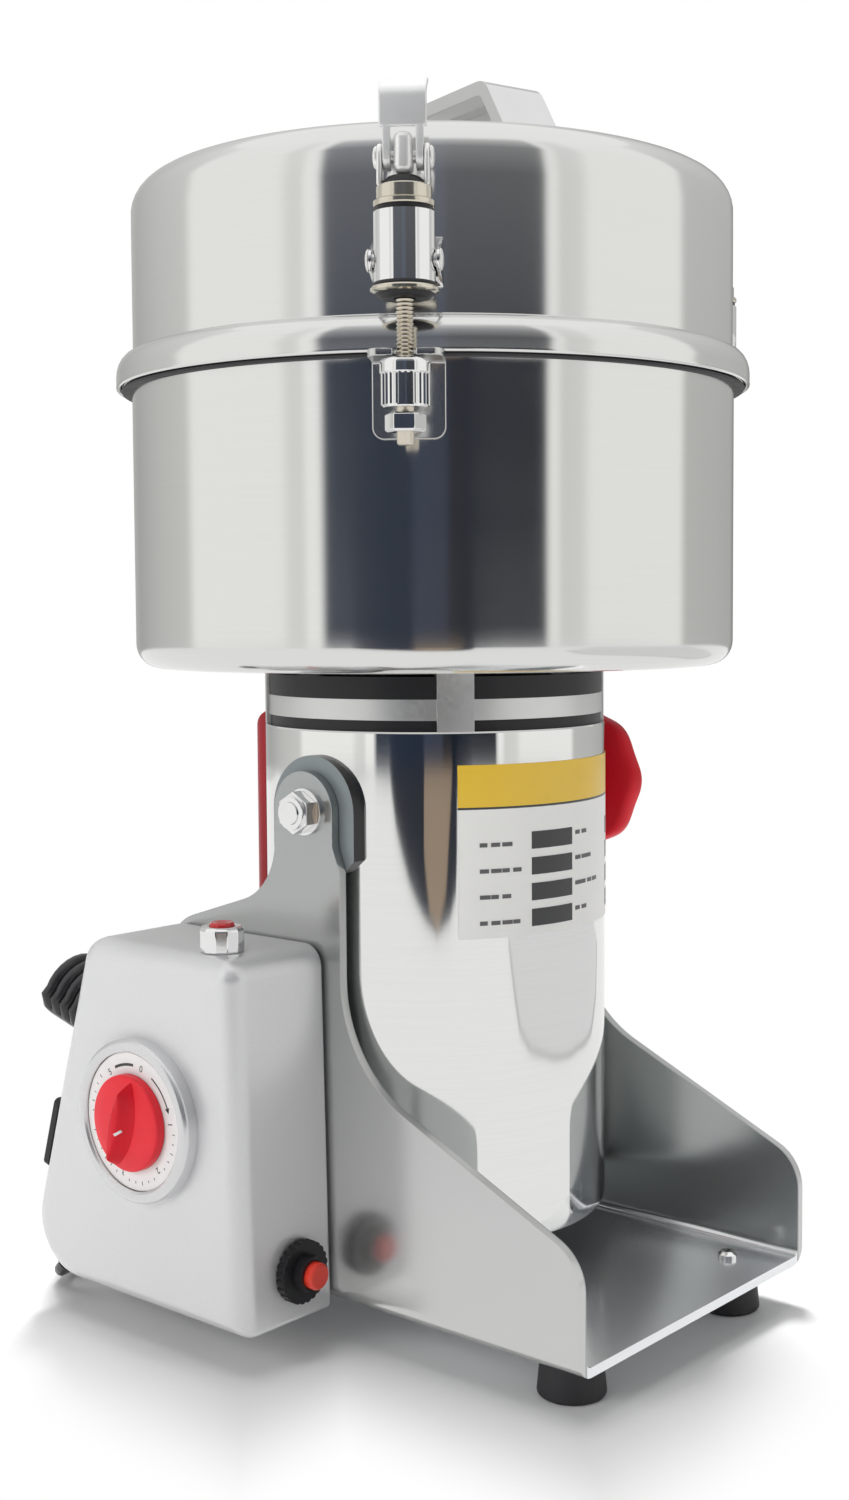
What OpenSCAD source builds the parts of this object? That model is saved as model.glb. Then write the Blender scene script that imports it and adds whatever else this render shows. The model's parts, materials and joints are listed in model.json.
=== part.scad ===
// Swing-type electric grain mill: a tipping motor and grinding bowl in a folded steel cradle.
// Millimetres. The mill's axis is Z, the worktop is z = 0, the timer box is on the -X side
// and the front is -Y. Every length is set once here, and the rest is worked out from it.

/* [Motor] */
// Outer diameter of the motor shell
shell_d = 131; // [120:1:136]
// Height of the shell's underside above the worktop
shell_z = 35; // [32:1:45]
// Height of the shell's top rim
shell_top_z = 222; // [218:1:228]
// Sheet thickness of the shell
shell_wall = 1.5; // [1:0.5:3]
// Height of the tipping axis
pivot_z = 193; // [190:1:197]
// Diameter of the rotor shaft
shaft_d = 12; // [10:1:14]
// Diameter of the stator core
stator_d = 100; // [90:1:112]
// Height of the stator and armature stacks
stack_h = 45; // [35:1:50]
// Diameter of the armature
armature_d = 55; // [48:1:60]

/* [Bowl and lid] */
// Height of the open neck between the shell and the bowl
neck_h = 22; // [20:1:28]
// Outer diameter of the grinding bowl
bowl_d = 228; // [222:1:232]
// Height of the grinding bowl
bowl_h = 106; // [100:1:120]
// Sheet thickness of the bowl and the lid
bowl_wall = 1.5; // [1:0.5:2]
// Height of the lid above the bowl's rim
lid_h = 74; // [66:1:84]
// Width of the lid's skirt beyond the bowl's wall
skirt_w = 5.8; // [5.5:0.1:6.5]
// Height of the lid handle above the lid
handle_h = 28; // [24:1:36]
// Length of the lid handle's top bar
handle_l = 100; // [80:1:110]
// Width of the lid handle's strap
handle_w = 24; // [18:1:30]

/* [Latches] */
// Distance of the latches' axes from the bowl's wall
latch_off = 15; // [14.5:0.5:16.5]
// Angle of the first latch, from the front towards the timer box
latch_a = 53.3; // [45:0.1:65]
// Outer diameter of a latch's tube
tube_d = 19.5; // [18:0.5:20]
// Diameter of a latch's threaded rod
rod_d = 5.7; // [5:0.1:6]
// Diameter of the knurled tightening nut
nut_d = 15.7; // [14:0.1:16]
// Width of a latch lever
lever_w = 15; // [14:0.5:15]

/* [Base] */
// Thickness of the folded base plate
plate_t = 3.5; // [3:0.5:5]
// Length of the base ahead of the tipping axis
base_front = 121.5; // [115:1:135]
// Length of the base behind the tipping axis
base_rear = 104; // [103:0.5:105]
// Height of the rubber feet
foot_h = 15.5; // [14:0.5:16]
// Diameter of the rubber feet
foot_d = 24; // [20:1:30]
// Height of the top of the ears above the tipping axis
ear_r = 14.5; // [13:0.5:17]

/* [Timer box] */
// Depth of the timer box, out from the plate
box_depth = 46; // [42:1:54]
// Height of the box's top
box_top = 146; // [140:1:148]
// Height of the box's underside
box_low = 14; // [13:1:15]
// Wall of the box
box_wall = 2; // [1.5:0.5:3]
// Height of the dial's centre
dial_z = 84; // [80:1:88]
// Diameter of the dial's rounded rim
dial_d = 59; // [56:1:62]
// Diameter of the timer knob
knob_d = 34.5; // [32:0.5:38]
// Diameter of the side locking knob
lock_d = 61; // [54:1:64]

/* [Hidden] */
$fn = 64;
e = 0.01;          // overshoot of a cut past a face
run = 0.05;        // radial clearance of a running fit
gap = 0.3;         // clearance between bodies that pass each other

red = [0.80, 0.06, 0.08];
silver = [0.72, 0.73, 0.75];
steel = [0.80, 0.80, 0.82];
paint = [0.62, 0.63, 0.66];
black = [0.05, 0.05, 0.06];

// Motor and neck
shell_r = shell_d / 2;
shell_in = shell_r - shell_wall;
shaft_r = shaft_d / 2;
rim_r = shell_r - 1;                 // rings of the neck
post_w = 13.3;                       // width of a neck post
post_a = 43;                         // first post, from the front towards the box
gasket_z = shell_top_z;
bracket_z = gasket_z + 4;
ring_z = bracket_z + 7.5;
bowl_z = shell_top_z + neck_h;
ring_top = bowl_z - 2.5;             // the see-through slot is above this
hub_r = 22;
bearing_r = 16;
cap_z = shell_z + shell_wall;
low_bearing_z = cap_z + 6;
stack_up = 61;
stack_z = shell_z + stack_up;
fan_up = 44;                         // fan above the armature
armature_r = armature_d / 2;
stator_r = stator_d / 2;
shoe_r = armature_r + 6;             // outside of the pole shoes
comm_r = 15;
comm_z = stack_z - 30;
slot_n = 12;

// Bowl and lid
bowl_r = bowl_d / 2;
rim_z = bowl_z + bowl_h;
blade_z = bowl_z + 8;
lip_r = bowl_r + 3;
lip_t = 1.5;
skirt_r = bowl_r + skirt_w;
lid_r = bowl_r - 0.5;
lid_top = rim_z + lid_h;
skirt_low = rim_z - 2.5;
skirt_bend = rim_z + 2;
flare_h = 8;
lid_corner = 12;
bowl_corner = 9;
grip_z = lid_top + handle_h;
grip_a = 16.7;                       // turn of the lid handle from the Y axis
grip_lean = 18.5;                    // how far a handle leg reaches out
grip_edge = handle_l / 2 + 3;        // sharp corner of the handle's side view
grip_round = 9;
grip_foot = 20;                      // length of a handle foot
strap_t = 2;
strap_rim = 5;
rivet_x = 6;
rivet_y = grip_edge + grip_lean + 6.5;

// Latches
latch_r = bowl_r + latch_off;
hinge_z = rim_z + 24.4;              // swing axis of the latches
lever_z = rim_z + 56;                // lever pin
lug_z = rim_z - 5.5;
lug_t = 2.5;
tube_r = tube_d / 2;
rod_r = rod_d / 2;
rod_top = hinge_z + 2;               // the rod ends inside the sleeve
cheek_in = tube_r + 0.35;            // an ear passes this close to the sleeve
cheek_t = 1.2;
lever_top = lever_z + 19.5;
side_pin_r = 2;
lever_pin_r = 1.5;
arm_in = 3.9;
arm_out = lever_w / 2 - 1.5;

// Base
base_z = foot_h;
floor_z = base_z + plate_t;
pad_out = shell_r + 2.7;
wall_in = pad_out + gap;
wall_out = wall_in + plate_t;
stud_r = 4;
foot_screw_r = 2.2;
foot_x = 50;
foot_y = [-(base_front - 19.5), base_rear - 19];
slope_a = 24.5;                      // slope of the side plate's front edge
toe_r = 17;
scoop_r = 48;
neck_y = 16.5;                       // front edge of the ear's neck, ahead of the axis
scoop_z = pivot_z - 59;
hump_a = 17.5;
hump_r = 24;

// Timer box: profile in Y and Z
box_x = wall_out;
box_out = wall_out + box_depth;
box_round = 8;
box_front = 12;
box_rear = 71;
box_lean = 16.5;                     // rear face leans back by this angle
box_heel_r = 22;
dial_y = 38;
dial_proud = 6;
dial_hole = 23;
scale_r = dial_d / 2 - 4.6;          // printed face inside the rim
scale_z = 3.6;                       // its back, off the box
timer_pin_r = 3;
pointer_a = 13;                      // the knob's pointer leans to the front at rest
lamp_x = box_out - 14;
lamp_y = 10;
button_x = box_out - 28;
button_z = box_low + 18.5;
button_r = 4.8;
rocker_x = box_out - 15;
rocker_z = box_low + 53;
gland_x = box_out - 18;
gland_l = 13.8;

// Cord: points chosen by hand, in millimetres
cord_r = 2.75;
hank_fold = 15.5;
hank_waist = 9.5;
hank_t = 22;
hank_top = [-98, 122.5];
hank_tie = [-88, 92];
hank_low = [-66, 18];
hank_y = 125;
hank_lean = 12;
LEAD = [
    [-100, 106, 10.8], [-99.8, 108.3, 8.5], [-98.9, 110.9, 6.7], [-97, 113.3, 5.5],
    [-93.9, 115.4, 4.8], [-90, 117.1, 4.4], [-85.6, 118.5, 4.2], [-81, 119.6, 4.1],
    [-76.4, 120.4, 4], [-71.8, 120.6, 3.9], [-67.5, 120.3, 3.8]
];
TAIL = [
    [-63, 124.3, 4.2], [-57.5, 124.3, 3.3], [-52, 124.2, 3], [-47.5, 124.1, 2.9],
    [-43, 124, 2.85], [-38, 123.9, 2.85], [-33, 123.8, 3], [-28, 123.7, 3.6],
    [-23, 123.6, 5], [-18, 123.5, 7.2], [-13, 123.4, 10], [-8, 123.3, 12.8],
    [-3, 123.2, 15.2], [2, 123.1, 16.8], [7, 123, 17.4], [12, 123, 17.5]
];
plug_x = 40;
plug_y = 123;
plug_r = 17.5;

// ---- helpers ----

// Points of an arc about c, from angle a0 to a1 in n steps
function arc(c, r, a0, a1, n) =
    [for (i = [0 : n]) let (a = a0 + (a1 - a0) * i / n) c + r * [cos(a), sin(a)]];

// An arc that closes on the axis with a small flat
function dome(c, r, a0, a1, n) =
    let (pts = arc(c, r, a0, a1, n)) concat(pts, [[0, pts[n][1]]]);

function unit(v) = v / norm(v);
function tangent(pts, i) =
    unit(pts[min(i + 1, len(pts) - 1)] - pts[max(i - 1, 0)]);
function side(t) = unit(cross(t, abs(t[2]) > 0.9 ? [0, 1, 0] : [0, 0, 1]));

// A round bar swept along a list of points
module swept(pts, r, sides = 8) {
    rings = [
        for (i = [0 : len(pts) - 1])
            let (t = tangent(pts, i), u = side(t), v = cross(t, u))
                for (k = [0 : sides - 1])
                    pts[i] + r * (cos(360 * k / sides) * u + sin(360 * k / sides) * v)
    ];
    n = len(pts);
    quads = [
        for (i = [0 : n - 2])
            for (k = [0 : sides - 1])
                [i * sides + k, i * sides + (k + 1) % sides,
                 (i + 1) * sides + (k + 1) % sides, (i + 1) * sides + k]
    ];
    low_end = [for (k = [sides - 1 : -1 : 0]) k];
    high_end = [for (k = [0 : sides - 1]) (n - 1) * sides + k];
    polyhedron(points = rings, faces = concat(quads, [low_end, high_end]));
}

module ring(r_out, r_in, z0, z1) {
    translate([0, 0, z0])
        difference() {
            cylinder(h = z1 - z0, r = r_out);
            translate([0, 0, -1]) cylinder(h = z1 - z0 + 2, r = r_in);
        }
}

// A cylinder along +X from x0 to x1
module rod_x(r, x0, x1, y = 0, z = 0) {
    translate([x0, y, z]) rotate([0, 90, 0]) cylinder(h = x1 - x0, r = r);
}

// A cylinder along +Y from y0 to y1
module rod_y(r, y0, y1, x = 0, z = 0) {
    translate([x, y0, z]) rotate([-90, 0, 0]) cylinder(h = y1 - y0, r = r);
}

// Children drawn in Y and Z, made solid from x0 to x1
module slab_x(x0, x1) {
    translate([x0, 0, 0]) rotate([90, 0, 90]) linear_extrude(x1 - x0) children();
}

// Puts a latch's local frame (X outwards, Y along the rim) at latch k
module at_latch(k) {
    rotate([0, 0, -90 - latch_a - 120 * k]) children();
}

module rounded_square(w, h, r) {
    square([w - 2 * r, h], center = true);
    square([w, h - 2 * r], center = true);
    for (sx = [-1, 1], sy = [-1, 1])
        translate([sx * (w / 2 - r), sy * (h / 2 - r)]) circle(r);
}

// ---- base ----

// The folded sheet seen from the front: floor, bends and walls
module base_section() {
    bend_in = 3;
    bend_out = bend_in + plate_t;
    difference() {
        union() {
            translate([-wall_out, base_z + bend_out]) square([2 * wall_out, 220]);
            translate([-wall_out + bend_out, base_z]) square([2 * (wall_out - bend_out), 220]);
            for (s = [-1, 1])
                translate([s * (wall_out - bend_out), base_z + bend_out]) circle(bend_out);
        }
        translate([-wall_in, floor_z + bend_in]) square([2 * wall_in, 220]);
        translate([-wall_in + bend_in, floor_z]) square([2 * (wall_in - bend_in), 220]);
        for (s = [-1, 1])
            translate([s * (wall_in - bend_in), floor_z + bend_in]) circle(bend_in);
    }
}

// The side plate's outline in Y and Z
module side_outline() {
    scoop = [-neck_y - scoop_r, scoop_z];
    foot_of_scoop = scoop + scoop_r * [sin(slope_a), -cos(slope_a)];
    toe_y = -base_front + toe_r;
    toe_z = foot_of_scoop[1] + (toe_y - foot_of_scoop[0]) * tan(slope_a) - toe_r / cos(slope_a);
    ear_y = 1.5;
    rear_neck = ear_y + ear_r;
    dip = [rear_neck + hump_r, pivot_z - 12];
    dip_end = dip - hump_r * [sin(hump_a), cos(hump_a)];
    corner = dip_end + 40.3 * [cos(hump_a), -sin(hump_a)];
    corner_r = 20;
    bend = (90 - 2 * hump_a) / 2;
    run_in = corner_r * tan(bend);
    cut_a = corner - run_in * [cos(hump_a), -sin(hump_a)];
    corner_c = cut_a - corner_r * [sin(hump_a), cos(hump_a)];
    rear_low = corner[1] - (base_rear - corner[0]) / tan(hump_a);
    polygon(concat(
        [[base_rear, base_z], [-base_front, base_z]],
        arc([toe_y, toe_z], toe_r, 180, 90 + slope_a, 8),
        arc(scoop, scoop_r, slope_a - 90, 0, 16),
        [[-neck_y, pivot_z - 21], [ear_y - ear_r, pivot_z - 12]],
        arc([ear_y, pivot_z], ear_r, 180, 0, 20),
        arc(dip, hump_r, 180, 270 - hump_a, 12),
        arc(corner_c, corner_r, 90 - hump_a, hump_a, 8),
        [[base_rear, rear_low]]
    ));
}

module base_frame() color(paint) {
    difference() {
        intersection() {
            translate([0, base_rear, 0]) rotate([90, 0, 0])
                linear_extrude(base_front + base_rear) base_section();
            slab_x(-wall_out - 1, wall_out + 1) side_outline();
        }
        rod_x(stud_r + run, -wall_out - 1, wall_out + 1, 0, pivot_z);
        for (sx = [-1, 1], y = foot_y)
            translate([sx * foot_x, y, base_z - 1])
                cylinder(h = plate_t + 2, r = foot_screw_r + gap);
        box_fixings() {
            rod_x(2.2, -wall_out - 1, -wall_in + 1);
            translate([-wall_out + 1, 0, 0]) rotate([0, 90, 0])
                cylinder(h = plate_t - 1 + e, r1 = 2.2, r2 = 4.7);
        }
    }
}

module at_feet() {
    for (sx = [-1, 1], y = foot_y) translate([sx * foot_x, y, 0]) children();
}

module rubber_feet() color(black)
    at_feet() difference() {
        rotate_extrude() polygon([
            [0, 0], [foot_d / 2 - 1, 0], [foot_d / 2, 1], [foot_d / 2 - 1.5, base_z], [0, base_z]
        ]);
        translate([0, 0, 5]) cylinder(h = foot_h, r = foot_screw_r);
    }

module foot_screws() color(steel)
    at_feet() {
        translate([0, 0, 5]) cylinder(h = floor_z - 5, r = foot_screw_r);
        difference() {
            translate([0, 0, floor_z]) {
                cylinder(h = 1.4, r = 3.8);
                translate([0, 0, 1.4]) cylinder(h = 1.2, r1 = 3.8, r2 = 2.4);
            }
            for (a = [0, 90]) rotate([0, 0, a])
                translate([-2.4, -0.5, floor_z + 1.2]) cube([4.8, 1, 2]);
        }
    }

// ---- timer box ----

// Centre of the box's rounded top rear edge, and of its rounded heel
rear_y = box_rear - box_round / cos(box_lean) + box_round * tan(box_lean);
heel_z = box_low + box_heel_r;
heel_y = rear_y + (box_top - box_round - heel_z) * tan(box_lean)
    - (box_heel_r - box_round) / cos(box_lean);

// The box as a solid, shrunk by d on every side but the open back
module box_solid(d) {
    r = box_round - d;
    x_out = -box_out + box_round;
    hull($fn = 32) {
        for (p = [[-box_front + box_round, box_low + box_round],
                  [-box_front + box_round + 3, box_top - box_round],
                  [rear_y, box_top - box_round]]) {
            translate([x_out, p[0], p[1]]) sphere(r);
            rod_x(r, x_out, -box_x, p[0], p[1]);
        }
        translate([x_out, heel_y, heel_z]) rotate([0, 90, 0])
            rotate_extrude() translate([box_heel_r - box_round, 0]) circle(r);
        rod_x(box_heel_r - d, x_out, -box_x, heel_y, heel_z);
    }
}

module box_fixings() {
    for (p = [[4, 62], [24, 130], [60, 128], [64, 36]]) translate([0, p[0], p[1]]) children();
}

module at_rocker() {
    y = box_rear + (box_top - rocker_z) * tan(box_lean);
    translate([-rocker_x, y, rocker_z]) rotate([-90 + box_lean, 0, 0]) children();
}

module at_gland() {
    a = 45;
    translate([-gland_x, heel_y + box_heel_r * cos(a), heel_z - box_heel_r * sin(a)])
        rotate([-90 - a, 0, 0]) children();
}

module control_box() color(silver) {
    difference() {
        box_solid(0);
        difference() {
            box_solid(box_wall);
            box_fixings() rod_x(5, -box_out, -box_x + 1);
        }
        box_fixings() rod_x(1.6, -box_x - 11, -box_x + 1);
        rod_x(dial_hole, -box_out - 1, -box_out + box_wall + 2, dial_y, dial_z);
        translate([-lamp_x, lamp_y, box_top - box_wall - 3]) cylinder(h = box_wall + 4, r = 5);
        rod_y(6, -box_front - 3, -box_front + box_wall + 6, -button_x, button_z);
        at_rocker() translate([0, 0, -box_wall - 3]) linear_extrude(box_wall + 6)
            square([21, 26], center = true);
        at_gland() translate([0, 0, -box_wall - 3]) cylinder(h = box_wall + 6, r = 5.5);
    }
}

module box_screws() color(steel)
    box_fixings() {
        rod_x(1.6, -box_x - 10, -wall_out + 1);
        difference() {
            translate([-wall_out + 1, 0, 0]) rotate([0, 90, 0])
                cylinder(h = plate_t - 1, r1 = 2.1, r2 = 4.6);
            for (a = [0, 90]) rotate([a, 0, 0])
                translate([-wall_in - 1.2, -2.5, -0.5]) cube([2, 5, 1]);
        }
    }

// The rounded metal rim of the dial, seated on the box's outer face
module dial_bezel() color(silver)
    translate([-box_out, dial_y, dial_z]) rotate([0, -90, 0])
        rotate_extrude($fn = 96) polygon(concat(
            [[timer_pin_r + gap, -3], [dial_hole - gap, -3], [dial_hole - gap, 0], [dial_d / 2, 0]],
            arc([dial_d / 2 - 2.2, dial_proud - 2.2], 2.2, 0, 150, 8),
            [[scale_r, dial_proud - 1.6], [scale_r, scale_z], [timer_pin_r + gap, scale_z]]
        ));

module dial_scale() color("white")
    translate([-box_out, dial_y, dial_z]) rotate([0, -90, 0])
        ring(scale_r, timer_pin_r + gap, scale_z, scale_z + 0.8);

module timer_body() color("dimgray")
    translate([-box_out, dial_y, dial_z]) rotate([0, -90, 0])
        difference() {
            union() {
                translate([0, 0, -28]) cylinder(h = 25, r = dial_hole - 2);
                translate([0, 0, -33]) cylinder(h = 5, r = 12);
            }
            translate([0, 0, -16]) cylinder(h = 20, r = timer_pin_r + run);
        }

// A round knob with a leaf-shaped pointer ridge across its face
module timer_knob() color(red)
    translate([-box_out, dial_y, dial_z]) rotate([0, -90, 0]) {
        r = knob_d / 2;
        low = scale_z + 0.8 + gap;
        leaf_r = 1.157 * r;              // the leaf is bounded by two arcs of this radius
        leaf_c = 0.582 * r;
        translate([0, 0, -15]) cylinder(h = low + 16, r = timer_pin_r);
        rotate_extrude($fn = 96) polygon([
            [0, low], [r, low], [r - 0.6, low + 4], [r - 2.4, low + 5.4], [0, low + 6.6]
        ]);
        intersection() {
            translate([0, 0, low + 2]) rotate([0, 0, -pointer_a]) linear_extrude(12) polygon(concat(
                arc([0, -leaf_c], leaf_r, 32, 148, 16), arc([0, leaf_c], leaf_r, 212, 328, 16)
            ));
            rotate_extrude($fn = 96) polygon(concat(
                [[0, low + 1], [r - 0.5, low + 1]], dome([0, -13], 30.5, 56, 86, 8)
            ));
        }
    }

module lamp_bezel() color(steel)
    translate([-lamp_x, lamp_y, 0])
        difference() {
            union() {
                translate([0, 0, box_top]) cylinder(h = 9, r = 8, $fn = 12);
                translate([0, 0, box_top - 12]) cylinder(h = 12, r = 5 - run);
                translate([0, 0, box_top - box_wall - 3.5]) cylinder(h = 3.5, r = 8.5, $fn = 6);
            }
            translate([0, 0, box_top + 2]) cylinder(h = 8, r = 6.6);
            translate([0, 0, box_top - 13]) cylinder(h = 20, r = 3);
        }

module lamp_lens() color(red)
    translate([-lamp_x, lamp_y, box_top + 2]) {
        cylinder(h = 2, r = 6.5);
        cylinder(h = 6.6, r = 4.5, $fn = 12);
        translate([0, 0, 6.6]) cylinder(h = 0.8, r1 = 4.5, r2 = 3.7, $fn = 12);
    }

module breaker_body() color(black)
    translate([-button_x, -box_front, button_z]) rotate([90, 0, 0])
        difference() {
            union() {
                translate([0, 0, -34]) cylinder(h = 30 - box_wall, r = 11);
                translate([0, 0, -7]) cylinder(h = 13, r = 5.9);
                translate([0, 0, 3.5]) cylinder(h = 4, r = 6.5);
            }
            translate([0, 0, -8]) cylinder(h = 20, r = button_r + gap);
        }

module breaker_nut() color(black)
    translate([-button_x, -box_front, button_z]) rotate([90, 0, 0])
        difference() {
            linear_extrude(3.5) difference() {
                circle(11.2);
                for (k = [0 : 23]) rotate(15 * k) translate([11.6, 0]) circle(0.9, $fn = 16);
            }
            translate([0, 0, -1]) cylinder(h = 6, r = 5.9);
        }

module reset_button() color(red)
    translate([-button_x, -box_front, button_z]) rotate([90, 0, 0]) {
        translate([0, 0, -4]) cylinder(h = 14, r = button_r);
        translate([0, 0, 10]) cylinder(h = 0.8, r1 = button_r, r2 = button_r - 0.8);
    }

module rocker_frame() color(black)
    at_rocker()
        difference() {
            union() {
                linear_extrude(3) rounded_square(22.5, 28, 2);
                translate([0, 0, -16]) linear_extrude(16) rounded_square(20.6, 25.6, 1);
            }
            translate([0, 0, -9]) linear_extrude(20) square([15, 21.4], center = true);
            rod_x(1.5 + run, -9, 9, 0, 0);
        }

module rocker() color(red)
    at_rocker() rotate([8, 0, 0]) intersection() {
        union() {
            rotate([8, 0, 0]) translate([-7.2, 0, -6]) cube([14.4, 9.6, 9.6]);
            rotate([-8, 0, 0]) translate([-7.2, -9.6, -6]) cube([14.4, 9.6, 9.6]);
            rod_x(1.5, -8.8, 8.8, 0, 0);
        }
        rod_x(10, -9, 9, 0, 0);
    }

module cord_gland() color(black)
    at_gland() difference() {
        rotate_extrude() polygon([
            [0, -6], [5.4, -6], [5.4, 0], [7.5, 0], [7.5, 2.5], [5.2, 3.6],
            [cord_r + 1, gland_l], [0, gland_l]
        ]);
        translate([0, 0, -7]) cylinder(h = 40, r = cord_r);
    }

module cord_lead() color(black) {
    swept(LEAD, cord_r);
    swept(TAIL, cord_r);
}

module cord_hank() color(black)
    translate([0, hank_y, 0]) rotate([90 + hank_lean, 0, 0])
        translate([0, 0, -hank_t / 2]) linear_extrude(hank_t) {
            hull() {
                translate(hank_top) circle(hank_fold);
                translate(hank_tie) circle(hank_waist);
            }
            hull() {
                translate(hank_tie) circle(hank_waist);
                translate(hank_low) circle(hank_fold);
            }
        }

module plug() color(black)
    translate([plug_x, plug_y, plug_r]) rotate([0, 90, 0])
        difference() {
            rotate_extrude() polygon([
                [cord_r, -28], [cord_r + 2, -28], [6, -6], [9, -4], [13, 0], [16, 8],
                [plug_r, 12], [plug_r, 34], [plug_r - 1.5, 36], [0, 36], [0, -20], [cord_r, -20]
            ]);
            for (s = [-1, 1]) translate([0, s * 9.5, 28]) cylinder(h = 10, r = 2.4);
        }

module plug_pins() color(steel)
    translate([plug_x, plug_y, plug_r]) rotate([0, 90, 0])
        for (s = [-1, 1]) translate([0, s * 9.5, 28]) {
            cylinder(h = 26, r = 2.4);
            translate([0, 0, 26]) cylinder(h = 1.2, r1 = 2.4, r2 = 1.4);
        }

// ---- motor ----

module motor_shell() color(steel)
    difference() {
        rotate_extrude($fn = 128) difference() {
            union() {
                translate([0, shell_z + 4]) square([shell_r, shell_top_z - shell_z - 4]);
                translate([0, shell_z]) square([shell_r - 4, 4]);
                translate([shell_r - 4, shell_z + 4]) circle(4);
            }
            translate([0, cap_z]) square([shell_in, shell_top_z - cap_z - 1.5]);
            translate([0, shell_top_z - 2]) square([shell_r - 9, 3]);
            translate([-20, shell_z - 20]) square([20, 300]);
        }
        for (a = [0 : 30 : 330]) rotate([0, 0, a])
            translate([38, 0, shell_z - 1]) cylinder(h = 6, r = 4);
        handle_fixings() rod_y(2.6, shell_in - 8, shell_r + 5);
    }

module end_cap() color("gray")
    difference() {
        union() {
            translate([0, 0, cap_z]) cylinder(h = 1.5, r = shell_in - 4);
            ring(17, 0.01, cap_z, low_bearing_z + 9);
            for (a = [15 : 60 : 315]) rotate([0, 0, a])
                translate([0, -1.5, cap_z]) cube([30, 3, 9]);
        }
        translate([0, 0, low_bearing_z]) cylinder(h = 20, r = 13);
        for (a = [0 : 30 : 330]) rotate([0, 0, a])
            translate([38, 0, cap_z - 1]) cylinder(h = 6, r = 4);
    }

module trunnion_pads() color([0.36, 0.39, 0.40])
    difference() {
        for (s = [-1, 1])
            slab_x(s < 0 ? -pad_out : shell_r - 9, s < 0 ? -shell_r + 9 : pad_out)
                polygon(concat(
                    arc([0, pivot_z], 20, 0, 180, 24),
                    [[-20, pivot_z - 17], [-15.2, pivot_z - 21.4]],
                    [[15.2, pivot_z - 21.4], [20, pivot_z - 17]]
                ));
        translate([0, 0, shell_z]) cylinder(h = 250, r = shell_r, $fn = 256);
        rod_x(stud_r, -pad_out - 1, pad_out + 1, 0, pivot_z);
    }

lock_dome = lock_d / 2 * 1.62;       // radius of the knob's domed face
lock_in = wall_out + 1.5;            // the knob's hub bears on the washer here
lock_face = wall_out + 19;
stud_left = wall_out + 8.5;
stud_right = lock_face + 8;
nut_h = 5;                           // plain part of the lock nut, without its collar

module pivot_studs() color(steel) {
    difference() {
        union() {
            rod_x(stud_r, -stud_left, -shell_r + 3, 0, pivot_z);
            rod_x(stud_r, shell_r - 3, stud_right, 0, pivot_z);
        }
        translate([0, 0, pivot_z - 20]) cylinder(h = 40, r = shell_r);
    }
}

module pivot_washers() color(steel)
    for (s = [-1, 1])
        difference() {
            rod_x(8.5, s < 0 ? -lock_in : wall_out, s < 0 ? -wall_out : lock_in, 0, pivot_z);
            rod_x(stud_r, -stud_right, stud_right, 0, pivot_z);
        }

module pivot_nut() color(steel)
    difference() {
        union() {
            translate([-lock_in - nut_h, 0, pivot_z]) rotate([0, 90, 0])
                cylinder(h = nut_h, r = 6.75 / cos(30), $fn = 6);
            rod_x(6, -lock_in - nut_h - 1.4, -lock_in - nut_h, 0, pivot_z);
        }
        rod_x(stud_r, -lock_in - nut_h - 2, -lock_in + 1, 0, pivot_z);
    }

// Scalloped hand knob that clamps the tipping axis
module lock_knob() color(red)
    translate([0, 0, pivot_z]) rotate([0, 90, 0])
        difference() {
            union() {
                translate([0, 0, lock_in]) cylinder(h = lock_face - lock_in, r1 = 11, r2 = 15);
                translate([0, 0, lock_face]) difference() {
                    rotate_extrude($fn = 96) polygon(concat(
                        [[0, 0], [lock_d / 2 - 3, 0], [lock_d / 2, 3], [lock_d / 2, 6.6]],
                        dome([0, 13 - lock_dome], lock_dome, 54, 86, 8)
                    ));
                    for (k = [0 : 7]) rotate([0, 0, 45 * k])
                        translate([lock_d / 2 + 10.4, 0, -1]) cylinder(h = 20, r = 12.4, $fn = 64);
                }
            }
            translate([0, 0, lock_in - 1]) cylinder(h = stud_right - lock_in + 1.4, r = stud_r + run);
        }

module stator_core() color("gray")
    translate([0, 0, stack_z])
        linear_extrude(stack_h) {
            difference() {
                circle(stator_r);
                circle(stator_r - 6);
            }
            for (a = [0, 180]) rotate(a) difference() {
                union() {
                    translate([0, -11]) square([stator_r - 4, 22]);
                    intersection() {
                        circle(shoe_r);
                        polygon([[0, 0], [60, 50], [60, -50]]);
                    }
                }
                circle(armature_r + 0.8);
            }
            for (a = [45, 135, 225, 315]) rotate(a) intersection() {
                translate([stator_r - 4, -6]) square([30, 12]);
                circle(shell_in, $fn = 256);
            }
        }

module field_coils() color([0.72, 0.38, 0.14])
    for (a = [0, 180]) rotate([0, 0, a])
        difference() {
            translate([shoe_r + 0.4, -15, stack_z - 7]) cube([6, 30, stack_h + 14]);
            translate([0, -11.1, stack_z - 0.1]) cube([60, 22.2, stack_h + 0.2]);
        }

module bearings() color(steel) {
    ring(13, shaft_r - 1 + run, low_bearing_z, low_bearing_z + 9);
    ring(bearing_r, shaft_r + run, bracket_z - 4, bracket_z + 7);
}

module brush_gear() color(black) {
    z0 = comm_z + 5;
    ring(32, 24, z0, z0 + 8);
    for (a = [0, 180]) rotate([0, 0, a]) {
        difference() {
            translate([comm_r + 0.5, -5, z0 - 1]) cube([22, 10, 10]);
            ring(32, 24, z0, z0 + 8);
        }
        rotate([0, 0, 90]) intersection() {
            translate([31, -6, z0]) cube([60, 12, 4]);
            translate([0, 0, z0 - 1]) cylinder(h = 10, r = shell_in);
        }
    }
}

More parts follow.
